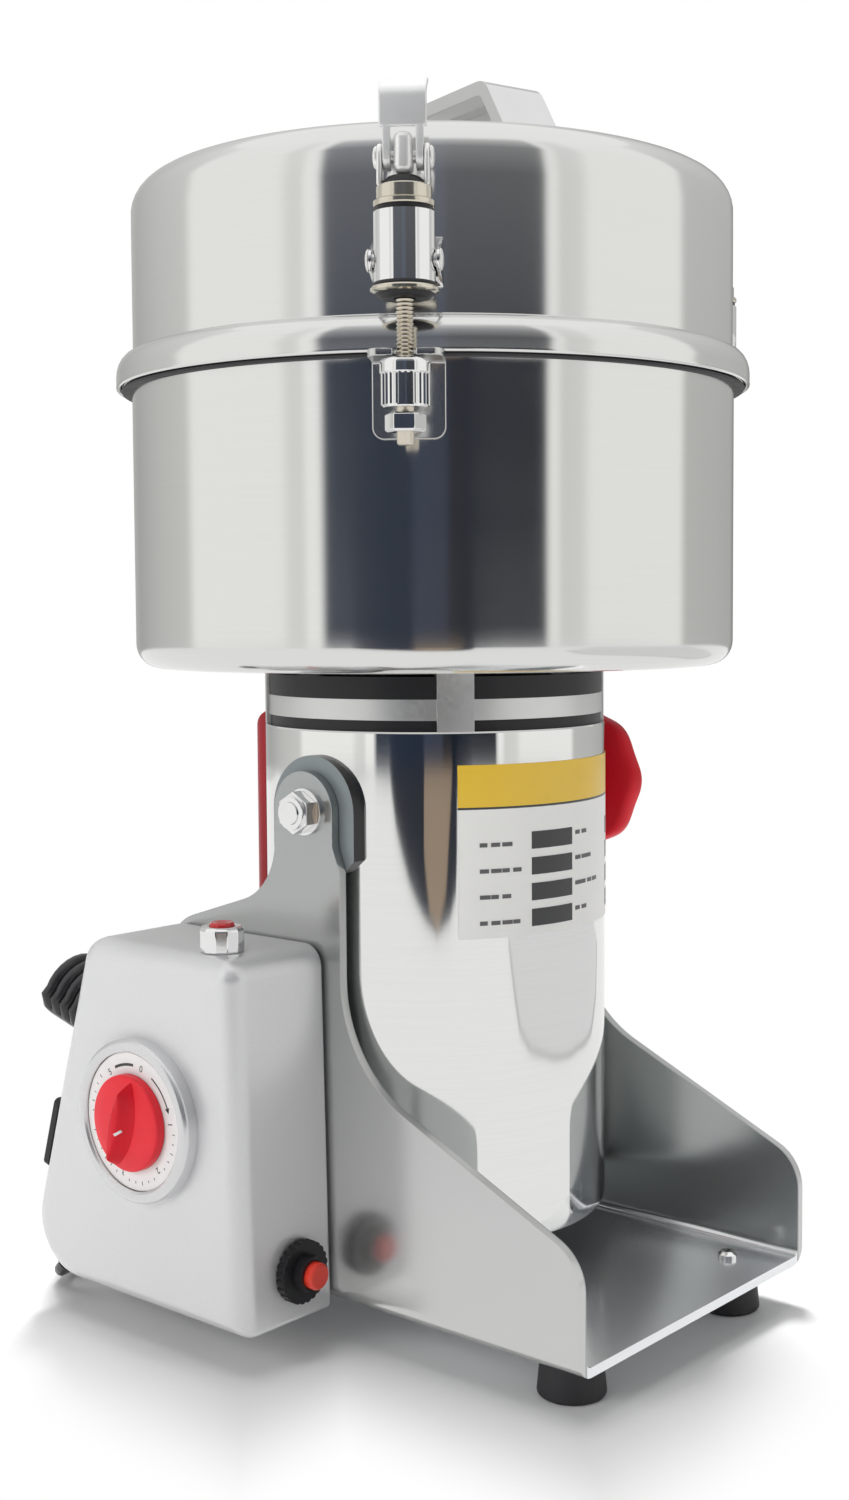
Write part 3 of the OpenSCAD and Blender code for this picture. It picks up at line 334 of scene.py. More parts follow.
# %% Shader values
class Value:
    def __init__(self, tree, socket):
        self.tree, self.socket = tree, socket

    def _with(self, operation, other, swapped=False):
        pair = (other, self) if swapped else (self, other)
        return self.tree.math(operation, *pair)

    def __add__(self, other): return self._with("ADD", other)
    def __radd__(self, other): return self._with("ADD", other, True)
    def __sub__(self, other): return self._with("SUBTRACT", other)
    def __rsub__(self, other): return self._with("SUBTRACT", other, True)
    def __mul__(self, other): return self._with("MULTIPLY", other)
    def __rmul__(self, other): return self._with("MULTIPLY", other, True)
    def __truediv__(self, other): return self._with("DIVIDE", other)
    def __gt__(self, other): return self._with("GREATER_THAN", other)


# %% Node trees
class Nodes:
    """A node tree, to which patterns are added as values."""

    def __init__(self, tree):
        self.nodes, self.links = tree.nodes, tree.links

    def put(self, socket, value):
        if isinstance(value, Value):
            self.links.new(value.socket, socket)
        else:
            socket.default_value = value

    def node(self, kind, settings=None, **inputs):
        """Adds a node: its settings first, then values or links by socket name or number."""
        new = self.nodes.new(kind)
        for key, value in (settings or {}).items():
            setattr(new, key, value)
        for key, value in inputs.items():
            place = int(key[1:]) if key[0] == "_" else key.replace("_", " ")
            self.put(new.inputs[place], value)
        return new

    def value(self, kind, settings=None, output=0, **inputs):
        """Adds a node and gives the value of one of its outputs."""
        return Value(self, self.node(kind, settings, **inputs).outputs[output])

    def math(self, operation, a, b=0.0):
        return self.value("ShaderNodeMath", {"operation": operation}, _0=a, _1=b)

    def where(self, turn=0.0):
        """Object coordinates, turned about Z by so many degrees."""
        place = self.value("ShaderNodeTexCoord", output="Object")
        return self.value("ShaderNodeMapping", Vector=place,
                          Rotation=(0, 0, radians(turn)))

    def axes(self, vector):
        split = self.node("ShaderNodeSeparateXYZ", _0=vector)
        return [Value(self, out) for out in split.outputs]

    def joined_axes(self, x, y, z):
        return self.value("ShaderNodeCombineXYZ", _0=x, _1=y, _2=z)

    def noise(self, vector, scale, detail=2.0, roughness=0.5):
        return self.value("ShaderNodeTexNoise", output="Fac", Vector=vector, Scale=scale,
                          Detail=detail, Roughness=roughness)

    def ramp(self, value, stops):
        new = self.node("ShaderNodeValToRGB", Fac=value)
        elements = new.color_ramp.elements
        elements[0].position, elements[1].position = stops[0][0], stops[-1][0]
        elements[0].color, elements[-1].color = (*stops[0][1], 1), (*stops[-1][1], 1)
        for position, colour in stops[1:-1]:
            elements.new(position).color = (*colour, 1)
        return Value(self, new.outputs["Color"])

    def mix(self, mask, a, b):
        new = self.node("ShaderNodeMix", {"data_type": "RGBA"}, Factor=mask)
        colours = [socket for socket in new.inputs if socket.type == "RGBA"]
        self.put(colours[0], a if isinstance(a, Value) else (*a, 1))
        self.put(colours[1], b if isinstance(b, Value) else (*b, 1))
        return Value(self, [out for out in new.outputs if out.type == "RGBA"][0])


class Finish(Nodes):
    """One material. Constants are set on the shader's own sockets, patterns are linked."""

    def __init__(self, name, colour, roughness, metallic=0.0, **constants):
        self.material = bpy.data.materials.new(name)
        self.material.use_nodes = True
        super().__init__(self.material.node_tree)
        self.shader = self.nodes["Principled BSDF"]
        constants.update(Base_Color=(*colour, 1), Roughness=roughness, Metallic=metallic)
        for key, value in constants.items():
            self.shader.inputs[key.replace("_", " ")].default_value = value

    def paint(self, colour, roughness):
        self.put(self.shader.inputs["Base Color"], colour)
        self.put(self.shader.inputs["Roughness"], roughness)

    def bump(self, height, depth_mm, strength):
        bump = self.value("ShaderNodeBump", Height=height, Strength=strength,
                          Distance=depth_mm * MM)
        self.put(self.shader.inputs["Normal"], bump)
        return self

    def surface(self, shader):
        """Shows this shader in place of the material's own."""
        self.put(self.nodes["Material Output"].inputs["Surface"], shader)


def shaded(colour, share):
    return tuple(min(1.0, c * share) for c in colour)


# %% [markdown]
# ## Steel, paint and plastic
# The bowl is spun steel, polished round and round: its scratches run along the circumference,
# so the noise is stretched in angle and dense in height. That spreads a reflection up and down
# and leaves its left and right edges crisp. The other metals are small pieces with no such
# direction, so a plain noise varies them.

# %% Steel finishes
def spun_steel(name, colour, roughness, streaks, depth_mm):
    finish = Finish(name, colour, roughness, 1.0, Anisotropic=0.75, Anisotropic_Rotation=0.25)
    x, y, z = finish.axes(finish.where())
    angle = finish.math("ARCTAN2", y, x)
    fine = finish.noise(finish.joined_axes(angle * 0.9, z * streaks, 0.0), 1.0, 4.0, 0.65)
    broad = finish.noise(finish.joined_axes(angle * 1.6, z * 30.0, 3.0), 1.0, 2.0)
    finish.paint(finish.mix(fine * 0.22, colour, shaded(colour, 0.72)),
                 roughness * 0.8 + fine * (0.22 * roughness) + broad * (0.2 * roughness))
    return finish.bump(fine, depth_mm, 0.35)


bowl_steel = spun_steel("spun bowl steel", (0.78, 0.78, 0.77), 0.135, 2600.0, 0.008)
shell_steel = spun_steel("polished shell steel", (0.84, 0.84, 0.83), 0.055, 900.0, 0.003)


def plain_metal(name, colour, roughness, grain, depth_mm, wear=0.25):
    finish = Finish(name, colour, roughness, 1.0)
    place = finish.where()
    spots = finish.noise(place, grain, 3.0)
    wide = finish.noise(place, grain * 0.08, 2.0)
    finish.paint(finish.mix(wide * wear, colour, shaded(colour, 0.6)),
                 roughness * 0.75 + spots * (0.5 * roughness))
    return finish.bump(spots, depth_mm, 0.4)


chrome = plain_metal("bright plating", (0.86, 0.86, 0.86), 0.06, 900.0, 0.003, 0.1)
satin_metal = plain_metal("satin steel", (0.60, 0.60, 0.60), 0.30, 1400.0, 0.01)
pressed_steel = plain_metal("pressed latch steel", (0.66, 0.66, 0.655), 0.22, 1100.0, 0.01)
cast_metal = plain_metal("cast aluminium", (0.72, 0.72, 0.715), 0.36, 700.0, 0.02)
grip_steel = plain_metal("polished grip steel", (0.74, 0.74, 0.74), 0.10, 900.0, 0.004, 0.15)
nickel_plate = plain_metal("aged nickel plating", (0.70, 0.655, 0.56), 0.16, 900.0, 0.004)
screw_steel = plain_metal("zinc plated screw", (0.74, 0.68, 0.58), 0.24, 900.0, 0.004)
iron = plain_metal("dull laminations", (0.16, 0.16, 0.17), 0.5, 500.0, 0.02)
copper = plain_metal("enamelled copper", (0.62, 0.26, 0.09), 0.3, 800.0, 0.02)

# %% [markdown]
# The cradle is coated with a smooth grey enamel with the slight orange peel of a sprayed coat.
# The timer box is silver paint: tiny flakes catch the light, so a fine cell noise varies its
# colour. On the cradle's side plates the inner faces get a darker tone, which is painted shade,
# and the outer faces a ramp by height, lighter low down and darker at the top, which is a
# painted reflection of the pale floor. The pads' faces are grey and their sides near black,
# which is painted shade in the gap behind the ear. How far out a face lies tells them apart, so
# one finish serves the piece.

# %% Painted finishes
# The inner tone is painted shade, and the outer faces' ramp by height, up to the top given here,
# is painted reflection.
WALL_IN, WALL_MID = 0.0681, 0.0692      # just inside the side plate, and within it
PAINTED_REFLECTION_TOP = 0.2                          # height at which the outer tones end


def sprayed(
    name, colour, roughness, flake, flake_scale, peel_mm, coat=0.3, metallic=0.0, painted_light_tones=None):
    finish = Finish(name, colour, roughness, metallic, Coat_Weight=coat, Coat_Roughness=0.12)
    place = finish.where()
    flakes = finish.value("ShaderNodeTexVoronoi", output="Color", Vector=place,
                          Scale=flake_scale)
    sparkle, _, _ = finish.axes(flakes)
    cloud = finish.noise(place, 26.0, 3.0)
    tone = finish.mix(sparkle * 0.75 + cloud * 0.25, shaded(colour, 1 - flake),
                      shaded(colour, 1 + flake))
    # Painted light: the side plates' inner faces take a darker tone as painted shade, and their
    # outer faces a ramp by height as painted reflection.
    if painted_light_tones:
        inner, outer = painted_light_tones
        x, _, z = finish.axes(place)
        out = finish.math("ABSOLUTE", x)
        tone = finish.mix(out > WALL_IN, tone, inner)
        tone = finish.mix(out > WALL_MID, tone, finish.ramp(z * (1 / PAINTED_REFLECTION_TOP), outer))
    finish.paint(tone, roughness * 0.85 + cloud * (0.3 * roughness))
    return finish.bump(finish.noise(place, 520.0, 2.0), peel_mm, 0.3)


# The cradle's last argument is painted light: a dark inner tone as painted shade, and an outer
# ramp, lighter low down, as painted reflection.
base_paint = sprayed(
    "grey cradle enamel", (0.90, 0.92, 0.94), 0.20, 0.015, 4200.0, 0.003, 0.2, 0.82,
    ((0.46, 0.48, 0.48), [(0.10, (0.62, 0.62, 0.61)), (0.30, (0.60, 0.60, 0.60)),
                          (0.80, (0.45, 0.46, 0.455)), (1.0, (0.40, 0.42, 0.42))]))
box_paint = sprayed("silver box paint", (0.71, 0.71, 0.72), 0.34, 0.03, 3600.0, 0.006, 0.25, 0.45)
dish_paint = sprayed(
    "silver dial paint", (0.70, 0.70, 0.71), 0.24, 0.02, 3600.0, 0.003, 0.3, 0.75)
yoke_steel = sprayed(
    "satin yoke steel", (0.86, 0.855, 0.84), 0.30, 0.02, 3000.0, 0.003, 0.1, 0.55)
flap_steel = sprayed(
    "satin lever steel", (0.80, 0.80, 0.80), 0.38, 0.02, 3000.0, 0.004, 0.0, 0.55)
# The pads' near black sides are painted shade in the gap behind the ear; their faces are grey.
PAD_GREY = (0.22, 0.25, 0.26)
pad_paint = sprayed(
    "grey pad paint", (0.018, 0.018, 0.02), 0.35, 0.03, 3600.0, 0.008, 0.3, 0.3,
    (PAD_GREY, [(0.0, PAD_GREY), (1.0, PAD_GREY)]))


# %% [markdown]
# The mouldings are a plain colour with a faint cloud in it, and a fine sheen in the bump. A low
# specular level keeps the red ones deep, since the white room would wash them out.

# %% Moulded and printed finishes
def moulded(name, colour, roughness, coat, mark=0.12, sheen=300.0, gloss=0.5):
    finish = Finish(name, colour, roughness, 0.0, Coat_Weight=coat, Coat_Roughness=0.06,
                    Specular_IOR_Level=gloss)
    place = finish.where()
    cloud = finish.noise(place, 60.0, 3.0)
    finish.paint(finish.mix(cloud, shaded(colour, 1 - mark), shaded(colour, 1 + mark)),
                 roughness * 0.8 + cloud * (0.4 * roughness))
    return finish.bump(finish.noise(place, sheen, 2.0), 0.02, 0.25)


red_plastic = moulded("red moulding", (0.66, 0.007, 0.020), 0.36, 0.03, gloss=0.2)
# The knob's disc takes a lighter red than its leaf, though both are one moulding: painted light on
# the disc.
lit_disc_red = moulded("light red moulding", (0.78, 0.028, 0.042), 0.36, 0.03, gloss=0.2)
grip_red = moulded("dark red moulding", (0.34, 0.006, 0.014), 0.34, 0.05, gloss=0.3)
button_red = moulded("orange red moulding", (0.80, 0.045, 0.022), 0.35, 0.1)
black_plastic = moulded("black moulding", (0.014, 0.014, 0.016), 0.40, 0.08, gloss=0.3)
rubber = moulded("black rubber", (0.022, 0.021, 0.024), 0.62, 0.0, 0.2, 900.0)
cord_pvc = moulded("cord sheath", (0.015, 0.015, 0.017), 0.36, 0.2, 0.2, 700.0)
white_print = moulded("white dial print", (0.80, 0.80, 0.79), 0.4, 0.2, 0.02)
seal_white = moulded("white lid seal", (0.70, 0.70, 0.66), 0.45, 0.0, 0.04)
ink = moulded("black ink", (0.03, 0.03, 0.03), 0.45, 0.0, 0.1)
jewel = moulded("red lamp jewel", (0.62, 0.012, 0.02), 0.10, 0.3, 0.1)
sticker_white = moulded("label vinyl", (0.86, 0.855, 0.83), 0.35, 0.1, 0.015)
sticker_yellow = moulded("label header", (0.84, 0.54, 0.03), 0.35, 0.15, 0.02)
sticker_dark = moulded("label blocks", (0.035, 0.035, 0.038), 0.35, 0.15, 0.1)
sticker_grey = moulded("label captions", (0.10, 0.10, 0.10), 0.4, 0.1, 0.05)

# %% [markdown]
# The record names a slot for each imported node. The nodes that stay in view unchanged, which are
# those inside the mill, get the finish of their slot here.

# %% Finishes by slot
SLOTS = {
    "base_paint": base_paint, "box_paint": box_paint, "pad_paint": pad_paint,
    "polished_steel": shell_steel, "bright_steel": chrome, "satin_steel": satin_metal,
    "cast_alu": cast_metal, "dull_iron": iron, "copper": copper,
    "black_plastic": black_plastic, "red_plastic": red_plastic, "white_scale": white_print,
    "lamp_red": jewel, "rubber": rubber, "cord_pvc": cord_pvc, "seal_white": seal_white,
}


node_slot = {row["node"]: row["material_slot"] for row in frame["record"]["subparts"]}
for node_name, obj in frame["nodes"].items():
    obj.data.materials.clear()
    obj.data.materials.append(SLOTS[node_slot[node_name]].material)
print("finishes on", len(node_slot), "packed nodes")


def fit(piece, body, slot, finish=None, *nodes):
    """The last step of every piece: its finish, the slot's own when no other is given, its body,
    and the imported nodes that it stands for, which are hidden.
    """
    piece.data.materials.clear()
    piece.data.materials.append((finish or SLOTS[slot]).material)
    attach(piece, body)
    if nodes:
        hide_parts(*nodes)
    print(piece.name, "-", len(piece.data.polygons) if piece.type == "MESH" else "curve")
    return piece


# %% [markdown]
# ## Mains cord
# The flex leaves the box's heel through a strain relief, bends down to the worktop and joins a
# hank folded behind the box. Four loops lie side by side, pinched at a tie, and the tail runs
# along the worktop to the plug. The route is one smooth line through points in the hank's own
# leaning plane: u across, v up and w through its depth.

# %% The cord's route
CORD_R = 2.75
LEAD = [
    (-100, 106, 10.8), (-99.8, 108.3, 8.5), (-98.9, 110.9, 6.7), (-97, 113.3, 5.5),
    (-93.9, 115.4, 4.8), (-90, 117.1, 4.4), (-85.6, 118.5, 4.2), (-81, 119.6, 4.1),
    (-76.4, 120.4, 4), (-71.8, 120.6, 3.9), (-67.5, 120.3, 3.8),
]
TAIL = [
    (-63, 124.3, 4.2), (-57.5, 124.3, 3.3), (-52, 124.2, 3), (-47.5, 124.1, 2.9),
    (-43, 124, 2.85), (-38, 123.9, 2.85), (-33, 123.8, 3), (-28, 123.7, 3.6),
    (-23, 123.6, 5), (-18, 123.5, 7.2), (-13, 123.4, 10), (-8, 123.3, 12.8),
    (-3, 123.2, 15.2), (2, 123.1, 16.8), (7, 123, 17.4), (12, 123, 17.5),
]
FOLD_R, HANK_Y = 12.75, 125.5
LEAN = radians(15.5)
TOP, TIE, LOW = (-96.0, 120.5), (-80.0, 92.0), (-64.0, 18.0)


def in_hank(u, v, w):
    y = HANK_Y - v * sin(LEAN) - w * cos(LEAN)
    return (u, y, v * cos(LEAN) - w * sin(LEAN))


def hank_loop(up_w, top_w, down_w, low_w, pinch_back=CORD_R):
    """One turn: up on the right, over the top fold, down on the left, round the low fold."""
    rise = [(LOW[0] + FOLD_R * 0.87, LOW[1] - FOLD_R * 0.5),
            (LOW[0] + FOLD_R * 0.98, LOW[1] + FOLD_R * 0.35), (LOW[0] + 5.0, LOW[1] + 20),
            (TIE[0] + CORD_R, TIE[1] - 9)]
    over = ([(TIE[0] + CORD_R - 0.4, TIE[1] + 6)] + arc(*TOP, FOLD_R, -12, 192, 8)
            + [(TIE[0] - pinch_back, TIE[1] + 6)])
    fall = [(TIE[0] - pinch_back, TIE[1] - 9), (LOW[0] - 18.0, LOW[1] + 20),
            (LOW[0] - FOLD_R * 0.98, LOW[1] + FOLD_R * 0.2),
            (LOW[0] - FOLD_R * 0.8, LOW[1] - FOLD_R * 0.6)]
    stages = ((up_w, rise), (top_w, over), (down_w, fall), (low_w, [(LOW[0], LOW[1] - FOLD_R)]))
    return [in_hank(*p, w) for w, points in stages for p in points]


route = list(LEAD)
route += hank_loop(2.75, 2.75, 2.75, 8.25)
route += hank_loop(8.25, 8.25, -8.25, -8.25, pinch_back=7.5)
route += hank_loop(-8.25, -8.25, -8.25, -4.1)
route += hank_loop(-2.75, -2.75, -2.75, 0.0)
route += TAIL


def spline_points(points, step=3.0):
    """A Catmull-Rom curve through the points, sampled about every step."""
    out = [Vector(points[0])]
    padded = [points[0]] + list(points) + [points[-1]]
    for p0, p1, p2, p3 in zip(padded, padded[1:], padded[2:], padded[3:]):
        a, b, c, d = Vector(p0), Vector(p1), Vector(p2), Vector(p3)
        n = max(1, round((c - b).length / step))
        for i in range(1, n + 1):
            t = i / n
            out.append(0.5 * (2 * b + (c - a) * t + (2 * a - 5 * b + 4 * c - d) * t ** 2
                              + (3 * b - a - 3 * c + d) * t ** 3))
    return out


line = spline_points(route)
cord_length = sum((b - a).length for a, b in zip(line, line[1:]))
print("cord line", round(cord_length), "mm in", len(line), "points")

# %% [markdown]
# The cord is a round curve with caps. The tie is a rounded block with its middle cut out. Plug
# and strain relief are turned, and a loop writes the ribs of their outlines.

# %% The cord, its tie and its plug
flex_data = bpy.data.curves.new("flex", "CURVE")
flex_data.dimensions = "3D"
flex_data.bevel_depth, flex_data.bevel_resolution = CORD_R * MM, 3
flex_data.use_fill_caps = True
thread = flex_data.splines.new("POLY")
thread.points.add(len(line) - 1)
for point, place in zip(thread.points, line):
    point.co = (*(place * MM), 1)
thread.use_smooth = True
flex = shown("flex", flex_data)
fit(flex, "base", "cord_pvc", None, "cord_lead", "cord_hank")

lean_plane = basis(in_hank(*TIE, 0), X, (0, -sin(LEAN), cos(LEAN)),
                   (0, -cos(LEAN), -sin(LEAN)))
tie = block("flex_tie", (-7.5, -4, -12.2), (7.5, 4, 12.2), 3.2, 4)
tie_hole = block("tie_hole", (-6.2, -9, -10.9), (6.2, 9, 10.9), 0)
fit(placed(cut(tie, tie_hole), lean_plane), "base", "black_plastic")

PLUG = (40, 123, 17.5)
along_x = side_on(*PLUG)
relief = [(CORD_R, -28), (4.6, -28), (4.9, -25)]
for k in range(5):
    z = -24 + 3.6 * k
    relief += [(4.9 + 0.25 * k, z), (4.0 + 0.25 * k, z + 0.9), (4.0 + 0.25 * k, z + 1.9),
               (5.1 + 0.25 * k, z + 2.7)]
body = relief + [(6.6, -5), (9, -4)] + arc(8.5, 8, 8.5, -82, -10, 6)
body += [(17.5, 13), (17.5, 33.5)] + arc(15.5, 34, 2, 0, 90, 4)
body += [(0, 36), (0, -20), (CORD_R, -20)]
plug_body = turned("plug_body", body, 64, place=along_x)
fit(plug_body, "base", "black_plastic", None, "plug")
pin = turned("mains_pin", [
    (0, 28), (2.4, 28), (2.4, 53.4)] + arc(1.2, 54, 1.2, 0, 80, 4) + [(0, 55.2)], 32,
    place=along_x @ moved(y=9.5))
pins = joined("mains_pins", pin, copied(pin, "pin", moved(y=-19)))
fit(pins, "base", "bright_steel", None, "plug_pins")

down = Vector((0, 1, -1)).normalized()
gland_foot = (-100.0, 96.2, 20.44)
ribs = [(7.5, 0), (7.5, 2.4), (6.0, 3.4)]
for k in range(3):
    z = 4.2 + 3.1 * k
    ribs += [(5.4 - 0.4 * k, z), (4.4 - 0.35 * k, z + 0.7), (4.3 - 0.35 * k, z + 1.6),
             (5.2 - 0.4 * k, z + 2.3)]
gland = turned(
    "cord_relief", ribs + [(3.75, 13.8), (CORD_R, 13.8), (CORD_R, 0)], 48,
    place=basis(gland_foot, X, down.cross(X), down))
fit(gland, "base", "black_plastic", None, "cord_gland")

# %% [markdown]
# ## Grinding bowl
# The bowl is one deep-drawn steel pan with a small floor radius and a rim turned out to a lip.
# A profile spun about the axis gives the wall its true thickness inside and out.

# %% The bowl
bowl = turned("bowl_pan", [
    (6.4, 244), (105, 244)] + arc(105, 253, 9, -80, 0, 8) + [(114, 260), (114, 344), (114.3, 347)]
    + arc(116.2, 349.2, 1.6, 200, 400, 8) + [(112.9, 349.9), (112.5, 348), (112.5, 258)] +
    arc(105, 253, 7.5, 0, -80, 6) + [(104, 245.5), (18, 245.5), (18, 248), (6.4, 248)], 192)
fit(bowl, "mill", "polished_steel", bowl_steel, "bowl")

# %% [markdown]
# ## Lid
# The lid is as wide as the bowl, with a broad shoulder radius at the top. At the bottom its
# skirt flares over the bowl's lip and ends in a small rolled bead.

# %% The lid
def flare(r, z, out, high):
    """The skirt's rounded shoulder, from the wall at the top to the skirt's own face."""
    steps = [radians(15 * i) for i in range(7)]
    return [(r + out * sin(t), z + high * cos(t)) for t in steps]


lid = turned("lid_shell", [
    (0, 424), (101.5, 424)] + arc(101.5, 412, 12, 84, 6, 8) + [(113.5, 405), (113.5, 360.6)] +
    flare(113.9, 352, 5.9, 8.2) + [(119.8, 349)] + arc(119.0, 348.4, 0.9, 0, -180, 6) +
    flare(112.8, 352, 5.3, 7.0)[::-1] + [(112, 360.5), (112, 412)] + arc(101.5, 412, 10.5, 0, 90,
    6) + [(0, 422.5)], 192)
fit(lid, "lid", "polished_steel", bowl_steel, "lid")

# A black ring under the bowl's curled lip, where the lid's skirt shades it, is painted shade.
lip_shade_ring = turned("lip_shade_ring", [
    (114.2, 346.4), (117.6, 346.4), (118.1, 347.1), (117.8, 347.6), (114.2, 347.6)], 128)
fit(lip_shade_ring, "mill", "rubber")

# %% [markdown]
# ## Motor shell
# A straight polished tube closed at the bottom, with a ring of cooling holes in its floor that
# shows when the mill is tipped.

# %% The motor shell
shell = turned("motor_tube", [
    (0, 35), (61.5, 35)] + arc(61.5, 39, 4, -82, -8, 6) + [(65.5, 41), (65.5, 221.4), (65.1, 222),
    (56.5, 222), (56.5, 220.5), (64, 220.5), (64, 36.5), (0, 36.5)], 192)
vent = turned("vent", [(0, 30), (4, 30), (4, 42), (0, 42)], 24, moved(38))
vents = joined("vents", vent, *[copied(vent, "vent", about_z(30 * k)) for k in range(1, 12)])
fit(smooth(cut(shell, vents)), "mill", "polished_steel", shell_steel, "motor_shell")

# %% [markdown]
# ## Timer box
# The box is a pressing: its outline is drawn from the side, drawn out sideways, and the edges of
# its outer face are given the broad radius of the press tool. The others are only broken.

# %% The timer box
CASE_LEFT, CASE_TOP, CASE_LOW, CASE_REAR = -118.0, 146.0, 14.0, 71.0
case = plate("timer_case", [
    (-12, CASE_LOW), (-9, CASE_TOP), (CASE_REAR, CASE_TOP)] + arc(80.64, 36, 22, 16.5, -90, 12),
    45.2, side_on(CASE_LEFT))


def broad_edge(a, b):
    """The edges around the outer face, and the two across the top."""
    if abs(a.x - CASE_LEFT) < 0.1 and abs(b.x - CASE_LEFT) < 0.1:
        return True
    return min(a.z, b.z) > CASE_TOP - 0.5 and abs(a.y - b.y) < 0.1


bevel_where(case, broad_edge, 7.9, 6)
fit(level_normals(rounded(case, 2.0, 3, 35)), "base", "box_paint", None, "control_box")

# %% [markdown]
# ## Timer dial
# A pressed dish carries the white dial card. Its marks are thin printed strokes: minute ticks,
# plain numbers from 0 to 5, and two arcs that show which way to turn.

# %% The dial
dial_axis = basis((CASE_LEFT, 38, 84), Y, -Z, -X)
dish = turned("dial_dish", [
    (0, 0), (29.5, 0), (29.5, 3.8)] + arc(27.3, 3.8, 2.2, 0, 80, 5) + [(25.7, 5.9), (24.9, 5.3),
    (24.9, 3.6), (0, 3.6)], 96, dial_axis)
fit(dish, "base", "box_paint", dish_paint, "dial_bezel")
card = turned("dial_card", [
    (0, 3.7), (24.7, 3.7), (24.7, 4.3), (24.6, 4.4), (0, 4.4)], 96, dial_axis)
fit(card, "base", "white_scale", None, "dial_scale")

CARD_TOP = 4.4
dial_face = dial_axis @ moved(z=CARD_TOP) @ about_z(180)


def at_dial(radius, angle, turned_by=None):
    """A place on the dial face, by radius and by the angle clockwise from the top."""
    a = radians(angle)
    spot = moved(radius * sin(a), radius * cos(a))
    return dial_face @ spot @ about_z(-angle if turned_by is None else turned_by)


def stroke(radius, start, end, width, count):
    """A printed arc of the dial face, between two angles."""
    outer = arc(0, 0, radius + width / 2, 90 - start, 90 - end, count)
    inner = arc(0, 0, radius - width / 2, 90 - end, 90 - start, count)
    return plate("stroke", outer + inner, 0.05, dial_face)


def number(text, radius, angle, height):
    select_only()
    bpy.ops.object.text_add()
    obj = bpy.context.object
    settings = {"body": text, "align_x": "CENTER", "align_y": "CENTER", "size": height * MM,
                "extrude": 0.03 * MM, "offset": 0.03 * MM}
    for key, value in settings.items():
        setattr(obj.data, key, value)
    bpy.ops.object.convert(target="MESH")
    return placed(bpy.context.object, at_dial(radius, angle))


# %% [markdown]
# The numbers run clockwise from the zero. Small ticks lie between them, every third one longer,
# and none where a number stands.

# %% The dial's marks
NUMBERS = {"1": 83, "2": 139, "3": 196, "4": 259, "5": 323}
marks = [
    stroke(20.4, -27, 2, 1.0, 8), stroke(20.2, 31, 67, 0.55, 10),
    raised("arrow", [(-1.1, 0), (1.1, 0), (0, 1.9)], [(0.05, 1, 1)], at_dial(20.2, 67, -157)),
    number("0", 20.2, 14, 3.4)]
for text, angle in NUMBERS.items():
    marks.append(number(text, 20.0, angle, 3.3))
for k in range(30):
    angle = 83 + 9.4 * k
    top = 0.4 if k % 3 else 0.9
    if all(abs(angle % 360 - a) > 5 for a in NUMBERS.values()) and angle < 325:
        marks.append(plate("tick", [
            (-0.16, -0.5), (0.16, -0.5), (0.16, top), (-0.16, top)], 0.05, at_dial(21.8, angle)))
fit(joined("dial_marks", *marks), "base", "white_scale", ink)

# %% [markdown]
# The knob is a shallow disc with a narrow leaf-shaped grip. The leaf draws in quickly above its
# foot, so its flanks are hollow and its crest is thin. A small white patch lies on one flank.

# %% The timer knob
knob = turned("dial_knob", [
    (0, 4.7), (17.25, 4.7), (17.25, 6.6)] + arc(16.35, 7.4, 0.9, 0, 80, 3) + [(12, 8.9), (0,
    9.3)], 96, dial_axis)
LEAF_L, LEAF_W = 16.3, 7.4
leaf_r = (LEAF_L ** 2 + LEAF_W ** 2) / (2 * LEAF_W)
leaf_a = degrees(asin(LEAF_L / leaf_r))
leaf_side = arc(LEAF_W - leaf_r, 0, leaf_r, -leaf_a, leaf_a, 14)
LEAF_RISE = [(1.5, 0.94, 0.99), (1.0, 0.80, 0.97), (1.4, 0.72, 0.95), (1.7, 0.72, 0.93),
             (1.0, 0.78, 0.94), (0.4, 0.72, 0.97)]
leaf = raised("knob_leaf", leaf_side + [(-u, -v) for u, v in leaf_side[1:-1]], LEAF_RISE,
              dial_face @ moved(z=2.6) @ about_z(-15))
rounded(leaf, 0.35, 2, 40)
# The disc's lighter red is painted light; the leaf keeps the plain red moulding.
fit(smooth(knob, 40), "timer_knob", "red_plastic", lit_disc_red, "timer_knob")
fit(smooth(leaf, 40), "timer_knob", "red_plastic")
flank = (dial_face @ moved(z=9.4) @ about_z(-15) @ moved(2.6, -0.8, -0.7)
         @ Matrix.Rotation(radians(50), 4, "Y"))
fit(raised("knob_white_patch", [
    (-1.6, -1.0), (-0.9, -1.7), (1.5, 0.3), (0.8, 1.0)], [(0.3, 0.96, 0.96)], flank),
    "timer_knob", "white_scale")

# %% [markdown]
# ## Locking knob
# A thick moulded knob with eight low lobes and a domed face, on a hub that tapers towards the
# right-hand pivot stud. The lobes are one cosine wave on the radius.

